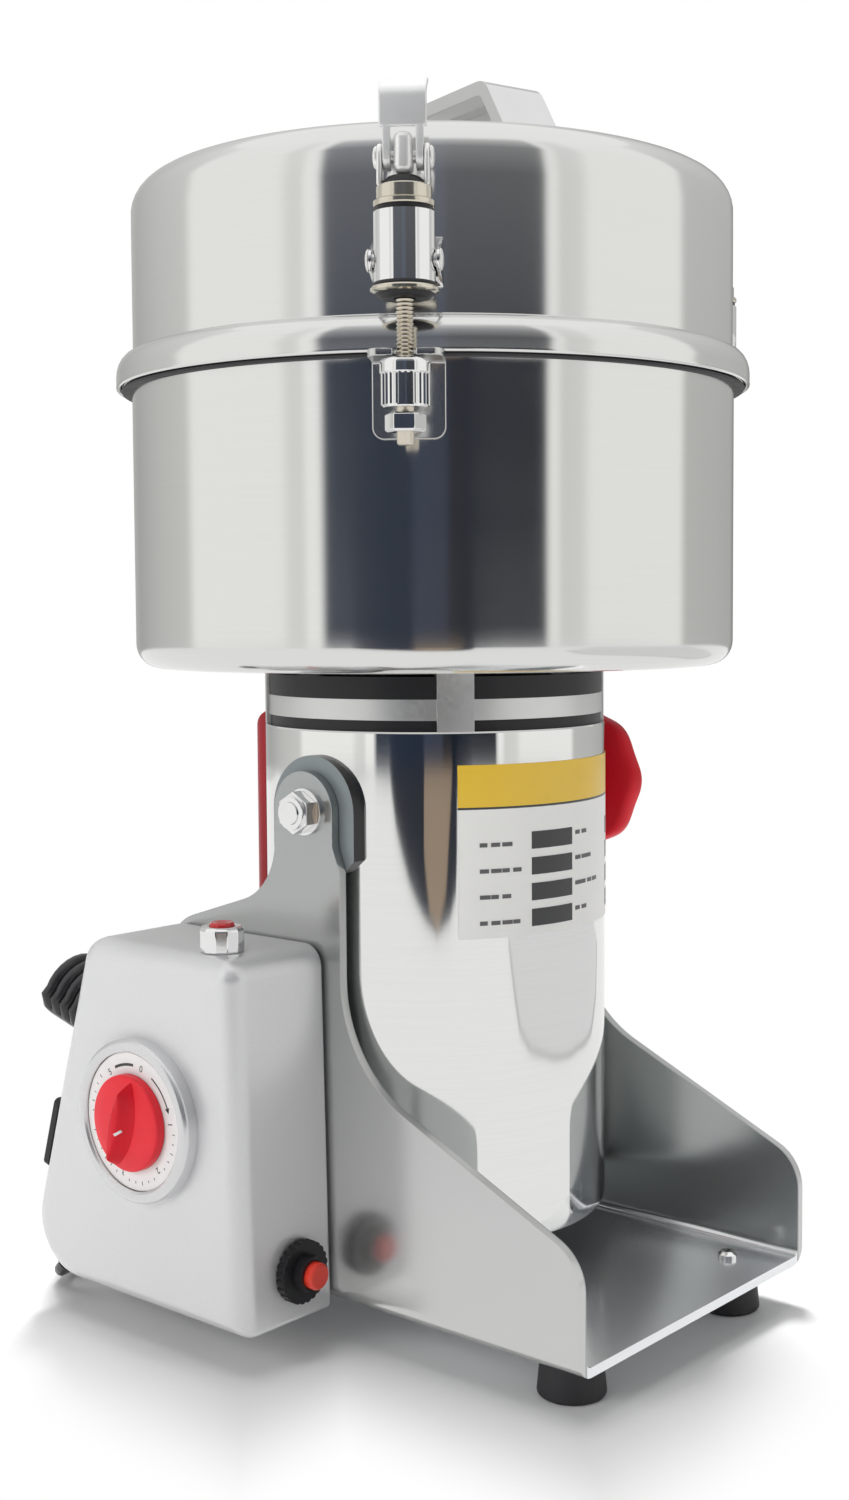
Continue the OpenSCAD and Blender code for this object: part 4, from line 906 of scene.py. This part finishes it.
# %% The locking knob
LOCK_FACE, LOCK_R, PIVOT_Z = 91.0, 29.8, 193
lobes = []
for i in range(120):
    a = 2 * pi * i / 120
    r = 0.90 * (LOCK_R + 0.7 * cos(8 * a))
    lobes.append((r * cos(a), r * sin(a)))
DOME = [(0.8, 1.06), (1.2, 1.03), (1.5, 1.015), (3.1, 1.0), (1.6, 0.965), (1.6, 0.93),
        (1.3, 0.88), (1.0, 0.80), (0.6, 0.64), (0.3, 0.40)]
grip_knob = raised("tipping_knob", lobes, [(rise, share, share) for rise, share in DOME],
                   side_on(LOCK_FACE, 0, PIVOT_Z))
hub = turned("hub", [
    (0, 73.6), (10.6, 73.6), (11, 74), (15, LOCK_FACE + 0.5), (0, LOCK_FACE + 0.5)], 64,
    side_on(0, 0, PIVOT_Z))
grip_knob = joined("tipping_knob", rounded(grip_knob, 0.4, 2, 30), hub)
fit(smooth(grip_knob, 30), "lock_knob", "red_plastic", None, "lock_knob")

# %% [markdown]
# ## Pilot lamp
# A faceted plated collar holds a red jewel moulded with twelve flats and a shallow cone.

# %% The pilot lamp
lamp_axis = moved(-104, 10, CASE_TOP)
collar = turned("lamp_collar", [
    (4.7, 0), (7.7, 0), (8.0, 0.4), (8.0, 7.9), (7.4, 8.8), (6.6, 9.0), (5.3, 9.0), (4.7, 8.3)],
    12, place=lamp_axis, angle=18)
fit(rounded(collar, 0.25, 2, 18), "base", "bright_steel", None, "lamp_bezel")
gem = turned("lamp_jewel", [
    (0, 2), (4.5, 2), (4.5, 9.6), (3.9, 10.3), (2.0, 10.0), (0, 9.2)], 12, lamp_axis, 12)
fit(gem, "base", "lamp_red", None, "lamp_lens")

# %% [markdown]
# ## Toggle latches
# Each latch is a plated sleeve with a foot flange, a nickel collar, a black cap, and a lever. The
# threaded rod hangs below it through a slotted lug, with a ribbed nut and a lock nut. One set is
# modelled on the latch's own axis and copied to the other two places.

# %% The sleeve and its rings
LATCH_R, LEVER_Z, HINGE_Z = 129.0, 406, 374.4
TURNS = {letter: -90 - 53.3 - 120 * k for k, letter in enumerate("abc")}


def latch_place(letter):
    return about_z(TURNS[letter]) @ moved(LATCH_R)


sleeve = turned("sleeve", [
    (3.6, 366.6), (9.75, 366.6), (9.75, 388.9), (9.3, 389.3), (3.6, 389.3)], 64)
foot_ring = turned("foot_ring", [
    (3.6, 364.0), (9.8, 364.0), (10.9, 364.6), (10.9, 365.4), (10.5, 365.9), (3.6, 366.0)], 64)
groove = turned("groove", [
    (3.6, 389.2), (9.0, 389.2), (9.2, 389.9), (8.9, 390.7), (3.6, 390.7)], 48)
low_groove = turned("low_groove", [
    (3.6, 366.0), (10.1, 366.0), (10.3, 366.6), (9.9, 367.2), (3.6, 367.2)], 48)
seat = turned("seat", [(3.6, 362.4), (7.6, 362.4), (8.9, 363.2), (9.4, 364.0), (3.6, 364.0)], 48)
groove = joined("groove", groove, low_groove, seat)
nickel = turned("nickel", [
    (3.6, 390.6), (9.4, 390.6), (9.75, 391.0), (9.75, 392.2), (9.3, 392.6), (8.75, 392.8), (8.75,
    396.6), (8.4, 397), (3.6, 397)], 64)
cap = turned("cap", [
    (0, 400.9), (2.6, 400.6), (5.2, 399.7), (7.0, 398.2), (7.6, 397), (0, 397)], 48)
print("sleeve set:", sleeve.name, groove.name, foot_ring.name, nickel.name, cap.name)

# %% [markdown]
# The rod's thread is a stack of plain grooves and not a helix, since nobody can tell them apart
# at this size. The ribbed nut is a toothed outline drawn up, with turned rings at both ends.

# %% The rod and its nuts
THREAD_PITCH, RIBS = 1.25, 26
crests = [(2.9 if i % 2 else 2.4, 344 + THREAD_PITCH * i / 2) for i in range(51)]
thread_rod = turned("thread", [
    (0, 317), (2.3, 317), (2.8, 317.6), (2.8, 344)] + crests + [(2.4, 376.3), (0, 376.3)], 40,
    angle=60)
teeth = []
for i in range(RIBS):
    for share, r in ((0.0, 7.25), (0.22, 7.8), (0.55, 7.8), (0.78, 7.25)):
        a = 2 * pi * (i + share) / RIBS
        teeth.append((r * cos(a), r * sin(a)))
ribs_part = plate("ribs", teeth, 9.6, moved(z=329.4))
shoulder = turned("shoulder", [
    (2.8, 338.8), (7.4, 338.8), (8.2, 339.5), (8.2, 342.0)] + arc(6.6, 342.3, 1.6, 0, 80, 5) +
    [(2.8, 344)], 64)
base_ring = turned("base_ring", [
    (2.8, 328.6), (6.9, 328.6), (7.3, 329.0), (7.3, 329.5), (2.8, 329.5)], 64)
hexagon = turned("hexagon", [
    (2.8, 321), (5.75, 321), (6.64, 321.6), (6.64, 326.4), (5.75, 327), (2.8, 327)], 6,
    place=about_z(30), angle=12)
rounded(hexagon, 0.2, 2, 20)
nut_set = joined("nut_set", smooth(ribs_part, 20), shoulder, base_ring, hexagon)
print("rod set:", thread_rod.name, nut_set.name)

# %% [markdown]
# The yoke holds the lever's pin in two cheeks beside an eye, and swings on two short pins at the
# sides of the sleeve. The lever is a bent strip with an arm at each side, rounded at the pin.

# %% The yoke, its pins and the lever
eye = block("eye", (-4.0, -3.0, 400.5), (4.6, 3.0, 413.6), 2.5, 6)
cheek = plate("cheek", [
    (-3.8, 396.6), (4.2, 396.6)] + arc(0, LEVER_Z, 4.2, 0, 180, 12), 1.7, facing_front(0, 8.3, 0))
other_cheek = copied(cheek, "other_cheek", moved(y=-14.9))
head = [(1.9, 8.3), (3.5, 8.4), (3.5, 8.8), (2.9, 9.4), (1.6, 9.7), (0, 9.7)]
lever_pin = turned("lever_pin", [
    (r, -z) for r, z in head[::-1]] + head, 40, basis((0, 0, LEVER_Z), Z, X, Y))
rim = [(0, -12.3), (1.8, -12.3), (3.1, -11.95), (3.6, -11.5), (3.6, -11.3), (2.2, -11.3),
       (2.2, -9.0), (0, -9.0)]
swing_pin = turned("swing_pin", rim, 40, basis((0, 0, HINGE_Z), Z, X, Y))
far_pin = copied(swing_pin, "far_pin", about_z(180))
yoke = joined("yoke", eye, rounded(cheek, 0.7, 3), rounded(other_cheek, 0.7, 3), lever_pin,
              swing_pin, far_pin)
bend = arc(-1, 423.5, 5.4, 0, 60, 6)
inner_bend = arc(-1, 423.5, 3.6, 60, 0, 6)
strip = plate("strip", [
    (4.4, 414.6)] + bend + [(-4.9, 431.9), (-6.0, 431.5), (-5.8, 430.4)] + inner_bend + [(2.6,
    414.6)], 15, facing_front(0, 7.5, 0))
arm = plate("arm", [
    (4.4, 416.5)] + arc(0, LEVER_Z, 4.2, 0, -215, 12) + [(1.6, 414.3), (2.4, 416.5)], 2.4,
    facing_front(0, 6.4, 0))
other_arm = copied(arm, "other_arm", moved(y=-10.4))
flap = joined("flap", rounded(strip, 0.6, 3), rounded(arm, 0.4), rounded(other_arm, 0.4))

# %% Three sets of each
MASTERS = {
    "latch_yoke": (yoke, "latch", "bright_steel", yoke_steel),
    "latch_flap": (flap, "lever", "bright_steel", flap_steel, "latch_lever"),
    "latch_sleeve": (sleeve, "latch", "bright_steel", chrome, "latch_tube"),
    "latch_foot": (foot_ring, "latch", "bright_steel", nickel_plate),
    "latch_groove": (groove, "latch", "black_plastic", black_plastic),
    "latch_nickel": (nickel, "latch", "bright_steel", nickel_plate),
    "latch_cap": (cap, "latch", "black_plastic", black_plastic),
    "latch_screw": (thread_rod, "rod", "satin_steel", screw_steel, "latch_rod"),
    "latch_nuts": (nut_set, "rod", "bright_steel", chrome),
}
for letter in "abc":
    for name, (master, body_kind, slot, finish, *nodes) in MASTERS.items():
        piece = copied(master, f"{name}_{letter}", latch_place(letter))
        fit(piece, f"{body_kind}_{letter}", slot, finish, *(f"{n}_{letter}" for n in nodes))
for master, *_ in MASTERS.values():
    bpy.data.objects.remove(master)

# %% [markdown]
# A saddle on the lid carries each latch: a back plate with an ear at each side, in which the
# short pins turn.

# %% The ears on the lid
back = block("back", (-16.2, -11.3, 368.4), (-14.3, 11.3, 384.4), 0.5, 2)
ear = plate("ear", [
    (-15.4, 368.6), (-4, 370.6)] + arc(0, HINGE_Z, 3.5, -90, 90, 10) + [(-4, 379.4), (-15.4,
    384.2)], 1.2, facing_front(0, 11.3, 0))
ear = rounded(ear, 0.3)
far_ear = copied(ear, "far_ear", moved(y=-21.4))
saddle = joined("saddle", back, ear, far_ear)
saddles = [copied(saddle, "saddle_" + letter, latch_place(letter)) for letter in "abc"]
bpy.data.objects.remove(saddle)
fit(joined("latch_ears", *saddles), "lid", "bright_steel", None, "latch_brackets")

# %% [markdown]
# ## Side label
# A printed vinyl sheet is wrapped on the shell: a yellow header, a thin rule, and a table of
# plain dark fields with short grey bars for their captions. Nothing on it can be read.

# %% The label
LABEL_R, LABEL_LEFT, LABEL_RIGHT = 65.75, -132.6, -24.0
VINYL, FACET = 0.12, 3.0


def sheet(name, left, right, low, high, r=LABEL_R):
    """A patch of the shell's surface, between two angles and two heights."""
    edge = trace(name, [(r, 0, low), (r, 0, high), (r + VINYL, 0, high), (r + VINYL, 0, low)])
    placed(edge, about_z(left))
    edit(edge)
    spin(max(1, round((right - left) / FACET)), -radians(right - left))
    bpy.ops.mesh.select_all(action="SELECT")
    bpy.ops.mesh.select_non_manifold(extend=False)
    bpy.ops.mesh.edge_face_add()
    leave_edit()
    face_out(edge)
    return smooth(edge, 40)


for name, low, high, finish in (("label_field", 148.0, 194.3, sticker_white),
                                ("label_header", 195.1, 210.2, sticker_yellow),
                                ("label_rule", 194.3, 195.1, sticker_dark)):
    fit(sheet(name, LABEL_LEFT, LABEL_RIGHT, low, high), "mill", "white_scale", finish)
fields, captions = [], []
PRINT_R = LABEL_R + 0.1
for row in range(4):
    low = 179.2 - 9.35 * row
    fields.append(sheet("field", -107.9, -90.2, low, low + 6.3, PRINT_R))
    fields.append(sheet("field", -60.5, -45.0, low + 0.4, low + 6.7, PRINT_R))
    for start, count, base in ((-125.8, 3 + row % 2, low + 1.6), (-88.4, 2 + row % 3, low + 3.4)):
        for i in range(count):
            left = start + 3.7 * i
            right = left + 2.5 + 0.5 * ((i + row) % 3)
            captions.append(sheet("caption", left, right, base, base + 1.5, PRINT_R))
fit(joined("label_fields", *fields), "mill", "white_scale", sticker_dark)
fit(joined("label_captions", *captions), "mill", "white_scale", sticker_grey)

# %% [markdown]
# ## The rest of the pieces, cleaned copies first
# These are pressed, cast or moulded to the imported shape, so a merged copy with broken edges is
# close to the real piece.

# %% Cleaned copies
COPIES = {
    "base_frame": ("cradle", "base", 0.5, base_paint),
    "trunnion_pads": ("pivot_pads", "mill", 0.5, pad_paint),
    "pivot_studs": ("pivot_bolts", "mill", 0.3, chrome),
    "pivot_washers": ("pivot_rings", "mill", 0.2, chrome),
    "pivot_nut": ("pivot_locknut", "mill", 0.25, chrome),
    "neck_bracket": ("neck_casting", "mill", 0.3, cast_metal),
    "neck_ring": ("neck_guard", "mill", 0.3, black_plastic),
    "rear_handle": ("back_grip", "mill", 1.2, grip_red),
    "lid_handle": ("top_grip", "lid", 2.4, grip_steel),
    "handle_rivets": ("grip_rivets", "lid", 0.2, chrome),
    "catch_brackets": ("catch_plates", "mill", 0.7, pressed_steel),
    "breaker_nut": ("reset_nut", "base", 0.25, black_plastic),
    "reset_button": ("reset_cap", "reset_button", 0.4, button_red),
    "rocker_frame": ("switch_frame", "base", 0.3, black_plastic),
    "rocker": ("switch_rocker", "rocker", 0.4, red_plastic),
    "rubber_feet": ("feet", "base", 0.5, rubber),
    "foot_screws": ("floor_screws", "base", 0.2, chrome),
}
for node_name, (name, body_name, width, finish) in COPIES.items():
    fit(dressed(node_name, name, width), body_name, node_slot[node_name], finish, node_name)

# %% [markdown]
# ## Studio
# The mill stands on a pale floor before a white background. Steel shows only what is around
# it, so a wide wall of pale and dark panels surrounds the scene. It can be seen in glossy
# reflections alone, as a photographer's boards stay out of the picture.

# %% The air
AIR, GLOW, FADE = 0.31, 0.02, 0.065
WHITE, BLACK = (1, 1, 1, 1), (0, 0, 0, 1)

world = bpy.data.worlds.new("studio air")
bpy.context.scene.world = world
world.use_nodes = True
air = Nodes(world.node_tree)
rays = air.node("ShaderNodeLightPath")
by_camera, by_gloss, by_glass = (Value(air, rays.outputs[f"Is {kind} Ray"])
                                 for kind in ("Camera", "Glossy", "Transmission"))
by_eye = air.math("MAXIMUM", air.math("MAXIMUM", by_camera, by_gloss), by_glass)
shade = air.nodes["Background"]
air.put(shade.inputs["Color"], WHITE)
air.put(shade.inputs["Strength"], air.value("ShaderNodeMapRange", Value=by_eye, To_Min=AIR,
                                            To_Max=1.0))
print("air gives", AIR, "and looks white")

# %% [markdown]
# The floor takes the mill's shadow near its feet and turns into the white background a hand's
# breadth further out. The distance to two rectangles, under the cradle and under the timer box,
# drives that fade, because a round one would cut the corners.

# %% The floor
select_only()
bpy.ops.mesh.primitive_plane_add(size=14, location=(0, 0, 0))
floor = bpy.context.object
floor.name = "floor"
ground = Finish("pale floor", (0.86, 0.86, 0.86), 0.6)
seen = ground.value("ShaderNodeLightPath", output="Is Camera Ray")
fx, fy, _ = ground.axes(ground.where())


def past(middle_x, half_x, middle_y, half_y):
    """How far a place on the floor lies outside a rectangle, in metres."""
    side = ground.math("ABSOLUTE", fx - middle_x) - half_x
    front = ground.math("ABSOLUTE", fy - middle_y) - half_y
    return ground.math("MAXIMUM", side, front)


def shine(finish, colour, strength=1.0):
    return finish.value("ShaderNodeEmission", Color=colour, Strength=strength)


distance = ground.math("MINIMUM", past(0.0, 0.072, -0.009, 0.1125),
                       past(-0.09, 0.03, 0.055, 0.070))
far = ground.value("ShaderNodeMapRange", {"interpolation_type": "SMOOTHSTEP"}, Value=distance,
                   From_Min=0.0, From_Max=FADE)
glow = ground.value("ShaderNodeMixShader", Fac=seen, _1=shine(ground, BLACK, 0.0),
                    _2=shine(ground, WHITE, GLOW))
lit = ground.value("ShaderNodeAddShader", _0=Value(ground, ground.shader.outputs[0]), _1=glow)
ground.surface(ground.value("ShaderNodeMixShader", Fac=far * seen, _1=lit,
                            _2=shine(ground, WHITE)))
floor.data.materials.append(ground.material)
print("floor fades over", FADE, "m")

# %% [markdown]
# The boards are one tall ring. A ramp on the compass direction gives each its tone, and the
# tones grow paler towards the top, as under a lit ceiling.

# %% The wall of boards
BOARDS = [
    (-180, 0.50), (-146, 0.42), (-121, 0.58), (-102, 0.66), (-97, 0.97), (-56, 0.97),
    (-52, 0.80), (-47, 0.78), (-45.5, 1.0), (-40, 1.0), (-38.8, 0.034), (-8, 0.030),
    (-6.8, 0.050), (4.5, 0.044), (5.6, 0.016), (40.2, 0.012), (41, 1.0), (44.5, 0.95),
    (46, 0.72), (54, 0.76), (58, 0.95), (101, 0.95), (105, 0.56), (128, 0.52), (151, 0.44),
    (165, 0.16), (170, 0.50), (180, 0.50),
]


def reflected_only(obj, finish, colour):
    """Makes a piece of the stage shine by itself, in reflections alone."""
    finish.surface(shine(finish, colour))
    obj.data.materials.append(finish.material)
    obj.visible_camera = obj.visible_diffuse = obj.visible_shadow = False
    obj.visible_transmission = False


def board_tone(v):
    """Dark boards are bluish, and pale ones a little warm."""
    return (0.70 * v, v, 1.7 * v) if v < 0.1 else (v, v, 0.975 * v)


wall = trace("boards", [(2400, 0, 0), (2400, 0, 1400), (2400, 0, 3200)], closed=False)
edit(wall)
spin(96)
leave_edit()
boards = Finish("board faces", (0, 0, 0), 1.0)
facing = degrees(atan2(-HEADING.y, -HEADING.x))
bx, by, bz = boards.axes(boards.where(-facing))
share = boards.math("ARCTAN2", by, bx) / (2 * pi) + 0.5
tone = boards.ramp(share, [((angle + 180) / 360, board_tone(v)) for angle, v in BOARDS])
lift = boards.math("MULTIPLY", boards.math("MAXIMUM", bz - 0.45, 0.0), 0.24)
reflected_only(wall, boards, boards.mix(lift, tone, (1, 1, 1)))
print(len(BOARDS), "tones on the ring")

# %% [markdown]
# The straight shell looks down on the floor around the camera, so a few flat cards lie there. They
# draw the long dark wedge and the pale tongue on it. Only reflections see them.

# %% Floor cards
CARDS = {
    "pale_card": ((0.92, 0.92, 0.915), 0.6, [
        (2300, 0), (1626, 1626), (0, 2300), (-1626, 1626), (-2300, 0), (-1626, -1626),
        (0, -2300), (1626, -1626), (2300, 0.1), (170, 0.1), (120, -120), (0, -132), (-74, -126),
        (-74, -16), (-122, -16), (-124, 84), (-100, 130), (0, 170), (120, 120), (170, 0)]),
    "wedge_card": ((0.030, 0.034, 0.045), 1.0, [
        (-3250, -489), (-2558, -444), (-1536, -412), (-1029, -458), (-782, -516), (-652, -566),
        (-612, -708), (-640, -853), (-782, -1075), (-1126, -1566), (-984, -2304), (-1240, -3026)]),
    "brown_card": ((0.34, 0.26, 0.19), 1.6, [
        (-2699, -1869), (-1732, -1134), (-1117, -725), (-772, -573), (-656, -582), (-731, -778),
        (-982, -1128), (-1393, -1731), (-1896, -2672)]),
    "tongue_edge": ((0.48, 0.48, 0.485), 2.0, [
        (-44, -832), (4, -630), (33, -512), (84, -452), (165, -408), (262, -335), (350, -258),
        (438, -140), (557, -71), (759, -44), (1400, -900), (300, -1700)]),
    "tongue_card": ((0.76, 0.76, 0.765), 2.6, [
        (-36, -850), (14, -642), (43, -522), (93, -464), (172, -420), (268, -346), (358, -268),
        (446, -152), (562, -84), (775, -58), (1400, -900), (300, -1700)]),
}
for name, (colour, height, outline) in CARDS.items():
    sheet_card = filled(name, outline, height)
    leave_edit()
    reflected_only(sheet_card, Finish(name + " face", (0, 0, 0), 1.0), (*colour, 1))
print(len(CARDS), "cards")

# %% [markdown]
# Three round lamps light the mill from behind, above and the left. They are kept out of the
# reflections, so that only the boards draw on the steel.

# %% Lamps
def lamp(name, place, target, size, watts):
    data = bpy.data.lights.new(name, "AREA")
    data.shape, data.size, data.energy = "DISK", size, watts
    obj = shown(name, data)
    way = (Vector(target) - Vector(place)).normalized()
    turned_to = way.to_track_quat("-Z", "Y").to_matrix().to_4x4()
    obj.matrix_world = Matrix.Translation(place) @ turned_to
    obj.visible_glossy = False
    return obj


lamp("key", (0.60, 0.45, 2.1), (0, 0, 0.1), 0.5, 54)
lamp("top", (-0.2, 0.1, 2.2), (0, 0, 0.1), 1.4, 16)
lamp("side", (-1.8, 0.3, 0.9), (0, 0, 0.15), 1.0, 11)
